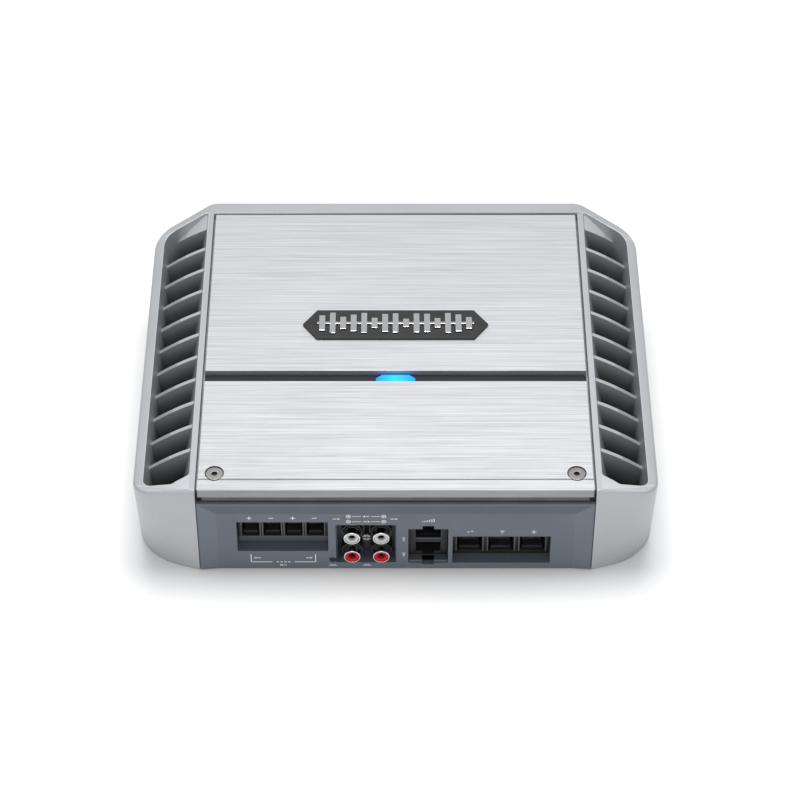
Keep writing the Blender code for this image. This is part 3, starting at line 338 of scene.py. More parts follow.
@once
def handling_group() -> bpy.types.NodeTree:
    """Faint handling marks: soft blotches that make a surface a little duller.

    Returns:
        The group.
    """
    wiring, given, out = new_group("handling", {"Spread": ("NodeSocketFloat", 18.0)}, ("Smudge",))
    blotch = wiring.noise(wiring.place(), given.outputs["Spread"], 5.0, 0.65)
    wiring.feed(out.inputs["Smudge"], wiring.remap(blotch, 0.42, 0.68))
    return wiring.tree


# ---- finishes ----

@dataclass(frozen=True)
class Finish:
    """A finish: two close colours, its gloss, and the grain and handling that break them up."""

    name: str
    colour: Colour
    patch_colour: Colour
    roughness: float
    metallic: float = 0.0
    uneven: float = 0.05        # how far roughness swings either way
    grain: float = 2000.0       # grains a metre
    relief: float = 0.00002     # height of the grain
    patch: float = 30.0
    coat: float = 0.0
    specular: float = 0.5

    def make(self) -> bpy.types.Material:
        """Make the material, or find it by its name after the first call.

        Returns:
            The material.
        """
        found = bpy.data.materials.get(self.name + "_finish")
        if found:
            return found
        made = bpy.data.materials.new(self.name + "_finish")
        made.use_nodes = True
        wiring = Wiring(made.node_tree)
        shader = made.node_tree.nodes["Principled BSDF"]
        shader.inputs["Metallic"].default_value = self.metallic
        shader.inputs["Coat Weight"].default_value = self.coat
        shader.inputs["Specular IOR Level"].default_value = self.specular
        colour, rough, height = self.pattern(wiring)
        wiring.feed(shader.inputs["Base Color"], self.dress(wiring, shader, colour))
        smudge = wiring.group(handling_group()).outputs["Smudge"]
        wiring.feed(shader.inputs["Roughness"],
                    wiring.maths("ADD", rough, wiring.maths("MULTIPLY", smudge, self.uneven)))
        bump = wiring.add("ShaderNodeBump")
        bump.inputs["Strength"].default_value = 1.0
        bump.inputs["Distance"].default_value = self.relief
        wiring.feed(bump.inputs["Height"], height)
        wiring.feed(shader.inputs["Normal"], bump.outputs["Normal"])
        return made

    def pattern(self, wiring: Wiring) -> tuple[object, object, object]:
        """Colour, roughness and height over the surface.

        Args:
            wiring: The material's wiring.

        Returns:
            The three sockets.
        """
        grain = wiring.group(grain_group(), Grain=self.grain, Patch=self.patch)
        colour = wiring.mix(grain.outputs["Shade"], self.colour, self.patch_colour)
        rough = wiring.remap(grain.outputs["Height"], 0.3, 0.7, self.roughness - self.uneven,
                             self.roughness + self.uneven)
        return colour, rough, grain.outputs["Height"]

    def dress(self, wiring: Wiring, shader: bpy.types.Node, colour: object) -> object:
        """Last change to the colour, which a plain finish leaves alone.

        Args:
            wiring: The material's wiring.
            shader: Its Principled shader.
            colour: The colour so far.

        Returns:
            The colour to use.
        """
        return colour


@dataclass(frozen=True)
class Brushed(Finish):
    """Brushed metal, with streaks along one axis."""

    density: Point = (40.0, 1500.0, 1500.0)
    hair: float = 2.6

    def pattern(self, wiring: Wiring) -> tuple[object, object, object]:
        """Colour, roughness and height that follow the brushed lines.

        Args:
            wiring: The material's wiring.

        Returns:
            The three sockets.
        """
        lines = wiring.group(brushing_group(), Density=self.density, Hair=self.hair)
        streak = lines.outputs["Streak"]
        colour = wiring.mix(streak, self.colour, self.patch_colour)
        rough = wiring.remap(streak, 0.0, 1.0, self.roughness - self.uneven,
                             self.roughness + self.uneven)
        return colour, rough, lines.outputs["Height"]


@dataclass(frozen=True)
class WellShade(Finish):
    """The casting's paint inside a fin well, darker than on the outer skin, with painted shade
    that darkens it further down.
    """

    # colour of the painted shade at the bottom of a well
    deep_shade: Colour = (0.016, 0.017, 0.020)
    inner_x: float = 0.0985
    outer_x: float = 0.1222
    fall: float = 0.0125        # how much lower the ribs are at the rim than at the land
    top_z: float = 0.0535
    floor_z: float = 0.033

    def dress(self, wiring: Wiring, shader: bpy.types.Node, colour: object) -> object:
        """Paint shade: darken the colour with depth below the slope of the ribs.

        Args:
            wiring: The material's wiring.
            shader: Its Principled shader.
            colour: The colour so far.

        Returns:
            The colour to use.
        """
        x, _, z = wiring.axes()
        across = wiring.maths("ABSOLUTE", x)
        sunk = wiring.maths("ADD", z, wiring.maths(
            "MULTIPLY", wiring.remap(across, self.inner_x, self.outer_x), self.fall))
        return wiring.mix(wiring.remap(sunk, self.top_z, self.floor_z), colour, self.deep_shade)


@dataclass(frozen=True)
class SealRubber(Finish):
    """Grey rubber, with painted shade that turns it black at its two covered ends and along its
    foot.
    """

    # colour of the painted shade
    shade_colour: Colour = (0.008, 0.008, 0.009)
    end_x: float = 0.0925
    foot_z: float = 0.0474
    foot_height: float = 0.0006

    def dress(self, wiring: Wiring, shader: bpy.types.Node, colour: object) -> object:
        """Paint shade, black, on the ends and the foot.

        Args:
            wiring: The material's wiring.
            shader: Its Principled shader.
            colour: The colour so far.

        Returns:
            The colour to use.
        """
        x, _, z = wiring.axes()
        end = wiring.remap(wiring.maths("ABSOLUTE", x), self.end_x, self.end_x + 0.0008)
        foot = wiring.remap(z, self.foot_z + self.foot_height, self.foot_z)
        return wiring.mix(wiring.maths("MAXIMUM", end, foot), colour, self.shade_colour)


@dataclass(frozen=True)
class LitLens(Finish):
    """A lit lens, palest at the lamp behind its middle."""

    core: Colour = (0.02, 0.60, 1.0)
    glow: Colour = (0.0, 0.19, 0.80)
    reach: float = 0.0098
    strength: float = 0.95

    def dress(self, wiring: Wiring, shader: bpy.types.Node, colour: object) -> object:
        """Light the lens, from its core to its edge.

        Args:
            wiring: The material's wiring.
            shader: Its Principled shader.
            colour: The colour so far.

        Returns:
            The colour to use.
        """
        x, _, _ = wiring.axes()
        off_core = wiring.remap(wiring.maths("ABSOLUTE", x), 0.0015, self.reach)
        wiring.feed(shader.inputs["Emission Color"], wiring.mix(off_core, self.core, self.glow))
        shader.inputs["Emission Strength"].default_value = self.strength
        return colour


@dataclass(frozen=True)
class Laminate(Finish):
    """Circuit board: green mask over a lattice of copper tracks."""

    track: Colour = (0.035, 0.20, 0.085)
    lattice: float = 260.0

    def dress(self, wiring: Wiring, shader: bpy.types.Node, colour: object) -> object:
        """Lay lighter tracks under the mask.

        Args:
            wiring: The material's wiring.
            shader: Its Principled shader.
            colour: The colour so far.

        Returns:
            The colour to use.
        """
        cells = wiring.add("ShaderNodeTexVoronoi", distance="CHEBYCHEV")
        wiring.feed(cells.inputs["Vector"], wiring.place())
        wiring.feed(cells.inputs["Scale"], self.lattice)
        track = wiring.remap(cells.outputs["Distance"], 0.30, 0.34)
        return wiring.mix(track, colour, self.track)


@dataclass(frozen=True)
class Palette:
    """Every finish on the amplifier."""

    cast: Finish = Finish("cast_paint", (0.440, 0.455, 0.475), (0.405, 0.420, 0.440), 0.42,
                          0.35, uneven=0.04, grain=1500.0, relief=0.000025, patch=22.0)
    # Painted shade: the fin wells take a darker copy of the cast paint, which darkens further
    # with depth.
    well: Finish = WellShade("cast_well", (0.400, 0.415, 0.435), (0.365, 0.380, 0.400), 0.42,
                             0.35, uneven=0.04, grain=1500.0, relief=0.000025, patch=22.0)
    # Painted highlight: a lighter copy of the cast paint for the tops of the ribs.
    rib: Finish = Finish("rib_edge", (0.530, 0.545, 0.570), (0.490, 0.505, 0.530), 0.42, 0.30,
                         uneven=0.04, grain=1500.0, relief=0.00002, patch=22.0)
    plate: Finish = Brushed("brushed_plate", (0.630, 0.632, 0.645), (0.450, 0.455, 0.470), 0.58,
                            0.92, uneven=0.06, relief=0.00004, density=(12.0, 1200.0, 1200.0),
                            hair=2.2)
    # Painted shade: a darker copy of the brushed plate for the cover's front-facing faces.
    flange: Finish = Brushed("cover_flange", (0.35, 0.355, 0.37), (0.26, 0.265, 0.28), 0.42,
                             0.90, uneven=0.05, relief=0.00003, density=(13.0, 900.0, 520.0))
    # Painted shade and painted light: a darker copy of the slate for the panel's top bevel and
    # the pocket sills, a lighter copy for its side facets.
    slate_shade: Finish = Finish("panel_slate_bevel", (0.086, 0.101, 0.122),
                                 (0.078, 0.092, 0.112), 0.46, uneven=0.05, grain=3200.0,
                                 relief=0.00003, patch=45.0)
    slate_side_light: Finish = Finish("panel_slate_facet", (0.132, 0.152, 0.182),
                                (0.120, 0.139, 0.167), 0.46, uneven=0.05, grain=3200.0,
                                relief=0.00003, patch=45.0)
    screw: Finish = Brushed("cover_screw_steel", (0.34, 0.33, 0.32), (0.22, 0.215, 0.21), 0.36,
                            1.0, uneven=0.08, relief=0.00001, density=(900.0, 900.0, 90.0))
    slate: Finish = Finish("panel_slate", (0.118, 0.137, 0.166), (0.105, 0.123, 0.150), 0.46,
                           uneven=0.05, grain=3200.0, relief=0.00003, patch=45.0)
    black: Finish = Finish("black_plastic", (0.011, 0.011, 0.012), (0.020, 0.020, 0.021), 0.40,
                           uneven=0.06, grain=2600.0, relief=0.00002, patch=60.0)
    deck: Finish = Finish("deck_black", (0.014, 0.015, 0.017), (0.022, 0.023, 0.025), 0.55,
                          uneven=0.05, grain=4200.0, relief=0.00003, patch=40.0)
    rubber: Finish = SealRubber("seal_grey", (0.180, 0.195, 0.202), (0.145, 0.158, 0.164), 0.50,
                                uneven=0.06, grain=2400.0, relief=0.00003, patch=90.0)
    chrome: Finish = Finish("chrome", (0.92, 0.92, 0.93), (0.86, 0.87, 0.88), 0.08, 1.0,
                            uneven=0.03, grain=900.0, relief=0.000002, patch=120.0)
    steel: Finish = Brushed("steel", (0.56, 0.56, 0.57), (0.42, 0.42, 0.43), 0.30, 1.0,
                            uneven=0.06, relief=0.000008, density=(1200.0, 1200.0, 90.0))
    brass: Finish = Brushed("contact_gold", (0.80, 0.56, 0.22), (0.66, 0.44, 0.16), 0.26, 1.0,
                            uneven=0.05, relief=0.000006, density=(1500.0, 120.0, 1500.0))
    tin: Finish = Brushed("contact_tin", (0.50, 0.50, 0.50), (0.34, 0.34, 0.345), 0.36, 1.0,
                          uneven=0.08, relief=0.000010, density=(1500.0, 160.0, 1500.0))
    white: Finish = Finish("white_plastic", (0.62, 0.62, 0.61), (0.54, 0.54, 0.53), 0.34,
                           uneven=0.05, grain=2800.0, relief=0.00001, patch=150.0, specular=0.4)
    red: Finish = Finish("red_plastic", (0.62, 0.004, 0.030), (0.50, 0.003, 0.022), 0.36,
                         uneven=0.05, grain=2800.0, relief=0.00001, patch=150.0, specular=0.25)
    socket_grey: Finish = Finish("socket_grey", (0.050, 0.054, 0.060), (0.038, 0.041, 0.046),
                                 0.42, uneven=0.06, grain=2600.0, relief=0.00003, patch=120.0)
    lamp: Finish = LitLens("lamp_blue", (0.01, 0.20, 0.62), (0.01, 0.15, 0.52), 0.22,
                           grain=1800.0, relief=0.00001, patch=200.0)
    board: Finish = Laminate("board_green", (0.014, 0.105, 0.045), (0.012, 0.085, 0.038), 0.42,
                             grain=2600.0, relief=0.00001, patch=60.0)
    copper: Finish = Finish("enamelled_copper", (0.62, 0.25, 0.10), (0.50, 0.18, 0.07), 0.26, 1.0,
                            uneven=0.05, grain=1600.0, relief=0.00001, patch=120.0, coat=0.5)
    core: Finish = Finish("ferrite_core", (0.045, 0.075, 0.060), (0.035, 0.060, 0.048), 0.5,
                          grain=2600.0, relief=0.00003, patch=80.0)
    sleeve: Finish = Finish("can_sleeve", (0.022, 0.045, 0.135), (0.018, 0.038, 0.115), 0.30,
                            grain=1500.0, relief=0.00001, patch=80.0, coat=0.3)
    sheet: Finish = Brushed("dark_sheet", (0.040, 0.042, 0.046), (0.026, 0.027, 0.030), 0.38,
                            0.6, uneven=0.06, relief=0.00001, density=(60.0, 1100.0, 1100.0))
    ink: Finish = Finish("white_ink", (0.72, 0.735, 0.75), (0.66, 0.675, 0.69), 0.55,
                         grain=5000.0, relief=0.00001, patch=300.0)
    paper: Finish = Finish("studio_floor", (0.93, 0.93, 0.93), (0.92, 0.92, 0.92), 0.85,
                           uneven=0.02, grain=300.0, relief=0.00001, patch=1.0, specular=0.1)


FINISH = Palette()


# ---- bench tools ----

def facing(axis: int, way: int = 0) -> FaceTest:
    """A test for faces that look along an axis.

    Args:
        axis: 0, 1 or 2 for X, Y or Z.
        way: 1 or -1 for one way along it, 0 for both ways.

    Returns:
        The test.
    """

    def test(_: Vector, normal: Vector) -> bool:
        """Whether a face looks that way."""
        return (normal[axis] * way if way else abs(normal[axis])) > FACING

    return test


FRONT, REAR, TOP = facing(1, -1), facing(1, 1), facing(2, 1)


def object_mode() -> None:
    """Leave edit mode and deselect everything."""
    active = bpy.context.view_layer.objects.active
    if active and active.mode != "OBJECT":
        bpy.ops.object.mode_set(mode="OBJECT")
    bpy.ops.object.select_all(action="DESELECT")


def hold(piece: bpy.types.Object) -> None:
    """Select one piece alone and make it active.

    Args:
        piece: The piece.
    """
    object_mode()
    piece.select_set(True)
    bpy.context.view_layer.objects.active = piece


def edit(piece: bpy.types.Object) -> None:
    """Go into edit mode on one piece, with all of it selected.

    Args:
        piece: The piece.
    """
    hold(piece)
    bpy.ops.object.mode_set(mode="EDIT")
    bpy.ops.mesh.select_mode(type="FACE")
    bpy.ops.mesh.select_all(action="SELECT")


def pick_faces(piece: bpy.types.Object, test: FaceTest) -> None:
    """Go into edit mode on one piece and select the faces that pass a test.

    Args:
        piece: The piece.
        test: Takes a face's centre and normal.
    """
    if piece.mode != "EDIT":
        edit(piece)
    mesh = bmesh.from_edit_mesh(piece.data)
    for face in mesh.faces:
        face.select_set(False)
    for face in mesh.faces:
        if test(face.calc_center_median(), face.normal):
            face.select_set(True)
    mesh.select_flush_mode()
    bmesh.update_edit_mesh(piece.data)


def pick_edges(piece: bpy.types.Object, test: Callable[[bmesh.types.BMEdge], bool]) -> None:
    """Go into edit mode on one piece and select the edges that pass a test.

    Args:
        piece: The piece.
        test: Takes an edge.
    """
    if piece.mode != "EDIT":
        edit(piece)
    bpy.ops.mesh.select_mode(type="EDGE")
    bpy.ops.mesh.select_all(action="DESELECT")
    mesh = bmesh.from_edit_mesh(piece.data)
    for line in mesh.edges:
        if test(line):
            line.select_set(True)
    bmesh.update_edit_mesh(piece.data)


def extrude(step: Point) -> None:
    """In edit mode, extrude the selected faces or edges by a step."""
    bpy.ops.mesh.extrude_region_move(TRANSFORM_OT_translate={"value": step})


def turn_about(axis: Axis, angle: float, centre: Point) -> None:
    """In edit mode, turn what is selected about an axis through a point."""
    bpy.ops.transform.rotate(value=angle, orient_axis=axis.name, center_override=centre)


def press(piece: bpy.types.Object, test: FaceTest, *insets: float,
          push: Point | None = None) -> bpy.types.Object:
    """Inset the faces of a piece that pass a test, once or more, and push the innermost.

    Args:
        piece: The piece.
        test: Takes a face's centre and normal.
        insets: Width of each border, from the outside in.
        push: Step of the innermost part, if it moves.

    Returns:
        The piece.
    """
    pick_faces(piece, test)
    for width in insets:
        bpy.ops.mesh.inset(thickness=width)
    if push:
        bpy.ops.transform.translate(value=push)
    object_mode()
    return piece


def apply_modifier(piece: bpy.types.Object, kind: str, **settings: object) -> None:
    """Add a modifier to a piece and apply it.

    Args:
        piece: The piece.
        kind: The modifier's type.
        settings: Its settings.
    """
    hold(piece)
    step = piece.modifiers.new(kind.lower(), kind)
    for key, value in settings.items():
        setattr(step, key, value)
    bpy.ops.object.modifier_apply(modifier=step.name)


def part_finish(piece: bpy.types.Object, finish: Finish, test: FaceTest) -> None:
    """Give some faces of a finished piece a finish of their own.

    Args:
        piece: The piece.
        finish: Their finish.
        test: Takes a face's centre and normal.
    """
    piece.data.materials.append(finish.make())
    index = len(piece.data.materials) - 1
    for face in piece.data.polygons:
        if test(face.center, face.normal):
            face.material_index = index


def soften(piece: bpy.types.Object, edge: float, steps: int = 2,
           crease: float = CREASE) -> None:
    """Round a piece's sharp edges and shade it smooth between them.

    Args:
        piece: The piece.
        edge: Width of the rounding, or 0 for none.
        steps: Segments across it.
        crease: Angle above which an edge is sharp.
    """
    if edge:
        apply_modifier(piece, "BEVEL", width=edge, segments=steps, limit_method="ANGLE",
                       angle_limit=crease, use_clamp_overlap=False, miter_outer="MITER_SHARP",
                       harden_normals=False)
    hold(piece)
    bpy.ops.object.shade_smooth_by_angle(angle=crease)
    apply_modifier(piece, "WEIGHTED_NORMAL", keep_sharp=True, weight=60)


def hand_in(piece: bpy.types.Object, body: str, slot: str, finish: Finish,
            *replaced: str) -> bpy.types.Object:
    """Give a piece its finish and its body.

    Args:
        piece: The finished piece.
        body: The CAD body that it rides on.
        slot: The record's slot; not used.
        finish: What it is made of.
        replaced: CAD nodes that it stands for.

    Returns:
        The piece.
    """
    object_mode()
    piece.data.materials.clear()
    piece.data.materials.append(finish.make())
    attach(piece, body)
    if replaced:
        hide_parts(*replaced)
    LOG.info("%s: %d faces, rides on %s", piece.name, len(piece.data.polygons), body)
    return piece


def body_of(node: str) -> str:
    """The body that a CAD node rides on."""
    return NODES[node]["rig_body"]


def dressed(node: str, slot: str, finish: Finish, edge: float = 0.0003, steps: int = 2,
            crease: float = CREASE) -> bpy.types.Object:
    """A merged copy that stands for its CAD node, with its edges softened.

    Args:
        node: The CAD node.
        slot: Its slot in the record.
        finish: What it is made of.
        edge: Width of the rounding on its sharp edges.
        steps: Segments across it.
        crease: Angle above which an edge is sharp.

    Returns:
        The piece.
    """
    mesh = NODES[node].data.copy()
    mesh.materials.clear()
    piece = bpy.data.objects.new(node + "_worked", mesh)
    bpy.context.scene.collection.objects.link(piece)
    hold(piece)
    if mesh.has_custom_normals:
        bpy.ops.mesh.customdata_custom_splitnormals_clear()
    edit(piece)
    bpy.ops.mesh.remove_doubles(threshold=MERGE)
    object_mode()
    soften(piece, edge, steps, crease)
    return hand_in(piece, body_of(node), slot, finish, node)


def settle(piece: bpy.types.Object, name: str) -> bpy.types.Object:
    """Name a new piece and put its place into its mesh.

    Args:
        piece: The piece.
        name: Its name.

    Returns:
        The piece.
    """
    piece.name = name
    piece.data.name = name
    hold(piece)
    bpy.ops.object.transform_apply(location=True, rotation=True, scale=True)
    return piece


def block(name: str, low: Point, high: Point) -> bpy.types.Object:
    """A block between two corners, to be shaped further.

    Args:
        name: The piece's name.
        low: Its lowest corner.
        high: Its highest corner.

    Returns:
        The piece.
    """
    object_mode()
    size = Vector(high) - Vector(low)
    bpy.ops.mesh.primitive_cube_add(size=1.0, location=(Vector(low) + Vector(high)) / 2,
                                    scale=size)
    return settle(bpy.context.object, name)


def drum(name: str, centre: Point, radius: float, length: float, axis: Axis = Axis.Z,
         sides: int = 32) -> bpy.types.Object:
    """A round bar, to be shaped further.

    Args:
        name: The piece's name.
        centre: Its middle.
        radius: Its radius.
        length: Its length.
        axis: The way it points.
        sides: Faces round it.

    Returns:
        The piece.
    """
    object_mode()
    bpy.ops.mesh.primitive_cylinder_add(vertices=sides, radius=radius, depth=length,
                                        location=centre, rotation=axis.value)
    return settle(bpy.context.object, name)


def ring(name: str, centre: Point, radius: float, wire: float, axis: Axis = Axis.Z,
         around: int = 36, section: int = 10) -> bpy.types.Object:
    """A round ring of wire, to be shaped further.

    Args:
        name: The piece's name.
        centre: Its middle.
        radius: Radius of the wire's centreline.
        wire: Radius of the wire.
        axis: The ring's axis.
        around: Steps round the ring.
        section: Steps round the wire.

    Returns:
        The piece.
    """
    object_mode()
    bpy.ops.mesh.primitive_torus_add(location=centre, rotation=axis.value, major_radius=radius,
                                     minor_radius=wire, major_segments=around,
                                     minor_segments=section)
    return settle(bpy.context.object, name)


def turned(piece: bpy.types.Object, angle: float, centre: Point) -> bpy.types.Object:
    """A copy of a piece with its own mesh, turned about an upright axis.

    Args:
        piece: The piece to copy.
        angle: How far it is turned.
        centre: A point on the axis.

    Returns:
        The copy.
    """
    object_mode()
    copy = piece.copy()
    copy.data = piece.data.copy()
    bpy.context.scene.collection.objects.link(copy)
    edit(copy)
    turn_about(Axis.Z, angle, centre)
    object_mode()
    return copy


def joined(name: str, pieces: list[bpy.types.Object]) -> bpy.types.Object:
    """Join several pieces into the first.

    Args:
        name: The joined piece's name.
        pieces: The pieces.

    Returns:
        The joined piece.
    """
    object_mode()
    for piece in pieces:
        piece.select_set(True)
    bpy.context.view_layer.objects.active = pieces[0]
    if len(pieces) > 1:
        bpy.ops.object.join()
    pieces[0].name = name
    pieces[0].data.name = name
    return pieces[0]


def middle(node: str) -> Vector:
    """The middle of a CAD node's box."""
    low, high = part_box(node)
    return (low + high) / 2


# ---- sub-assemblies ----

@dataclass
class Housing:
    """The finned casting, and the sheet and screws that close it from below."""

    edge: float = 0.0003
    sheet_edge: float = 0.0002
    screw_edge: float = 0.0001
    screws: int = 4
    well_inner: float = 0.0982      # |x| of a well's wall along the land
    well_outer: float = 0.1218      # and along the rim
    well_front: float = -0.1005
    well_floor: float = 0.0285
    corner: Point = (0.0970, 0.1055, 0.74)  # where a rear corner is cut, and its slope
    back_rim: float = 0.0055
    skin_x: float = 0.1100          # past here, a face that looks outward is outer skin
    skin_y: float = -0.0900
    skin_share: float = 0.15
    rib_rise: float = 0.006
    rib_slope: float = 0.6

    def in_well(self, at: Vector, normal: Vector) -> bool:
        """Whether a face of the casting lies inside a fin well.

        Args:
            at: The face's centre.
            normal: Its normal.

        Returns:
            True for walls, floor and ribs, False for the casting's outer skin.
        """
        across = abs(at.x)
        corner_x, corner_y, slope = self.corner
        rear = corner_y - (across - corner_x) * slope - self.back_rim
        outward = normal.x * math.copysign(1.0, at.x)
        skin = (across > self.skin_x and outward > self.skin_share) or (
            at.y < self.skin_y and normal.y < -self.skin_share)
        return (self.well_inner < across < self.well_outer and self.well_front < at.y < rear
                and at.z > self.well_floor and not skin)

    def on_rib(self, at: Vector, normal: Vector) -> bool:
        """Whether a face is the top of a cooling rib."""
        return (self.in_well(at, normal) and normal.z > self.rib_slope
                and at.z > self.well_floor + self.rib_rise)

    def build(self) -> None:
        """Make the casting, the bottom sheet and its screws."""
        casting = dressed("heatsink_casting", "cast_paint", FINISH.cast, self.edge,
                          crease=CAST_CREASE)
        # Painted shade in the fin wells.
        part_finish(casting, FINISH.well, self.in_well)
        # Painted highlight on the rib tops.
        part_finish(casting, FINISH.rib, self.on_rib)
        dressed("bottom_plate", "trim_dark", FINISH.sheet, self.sheet_edge)
        for index in range(1, self.screws + 1):
            dressed(f"bottom_screw_{index}", "steel", FINISH.steel, self.screw_edge)


@dataclass
class TopPlates:
    """Brushed plates, the cover's screws, the lit channel and the seal under the cover."""

    screw_edge: float = 0.00018
    seal_edge: float = 0.00012
    lens_edge: float = 0.0005
    socket: float = 0.0016
    socket_deep: float = 0.0024
    socket_lip: float = 0.0002
    seat_wire: float = 0.00022
    seat_drop: float = 0.00055

    def build(self) -> None:
        """Make every piece on the top."""
        dressed("rear_top_plate", "brushed_plate", FINISH.plate, 0.0)
        cover = dressed("front_cover", "brushed_plate", FINISH.plate, 0.0)
        # Painted shade: the cover's front-facing faces take the darker flange copy.
        part_finish(cover, FINISH.flange, lambda _, normal: normal.y < -SLOPE)
        for side in Side:
            self.cover_screw("cover_screw_" + side.name.lower())
        dressed("cover_seal", "seal_grey", FINISH.rubber, self.seal_edge)
        dressed("channel_trim", "trim_dark", FINISH.sheet, 0.0002)
        dressed("light_bar", "lamp_blue", FINISH.lamp, self.lens_edge, 3)
        dressed("light_board", "board_green", FINISH.board, 0.0001)

    def cover_screw(self, node: str) -> None:
        """One cover screw, with painted shade: black inside its hex socket and a black ring in
        the gap of its sink.

        Args:
            node: The screw's CAD node.
        """
        screw = dressed(node, "steel", FINISH.screw, self.screw_edge)
        low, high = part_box(node)
        centre = middle(node)
        # Painted shade: the faces inside the hex socket are black.
        part_finish(screw, FINISH.black, lambda at, _:
                    high.z - self.socket_deep < at.z < high.z - self.socket_lip
                    and math.hypot(at.x - centre.x, at.y - centre.y) < self.socket)
        # Painted shade: a black ring in the gap round the screw head.
        seat = ring(node + "_seat_ring", (centre.x, centre.y, high.z - self.seat_drop),
                    (high.x - low.x) / 2 - self.seat_wire, self.seat_wire, around=40, section=8)
        soften(seat, 0.0)
        hand_in(seat, body_of(node), "black_plastic", FINISH.black)


@dataclass
class Emblem:
    """The raised badge: a dark plaque with bright level bars and a bright frame."""

    plaque_edge: float = 0.00025
    bar_edge: float = 0.00015

    def build(self) -> None:
        """Make the plaque and the relief."""
        dressed("emblem_base", "black_plastic", FINISH.black, self.plaque_edge, 3)
        dressed("emblem_relief", "chrome", FINISH.chrome, self.bar_edge)


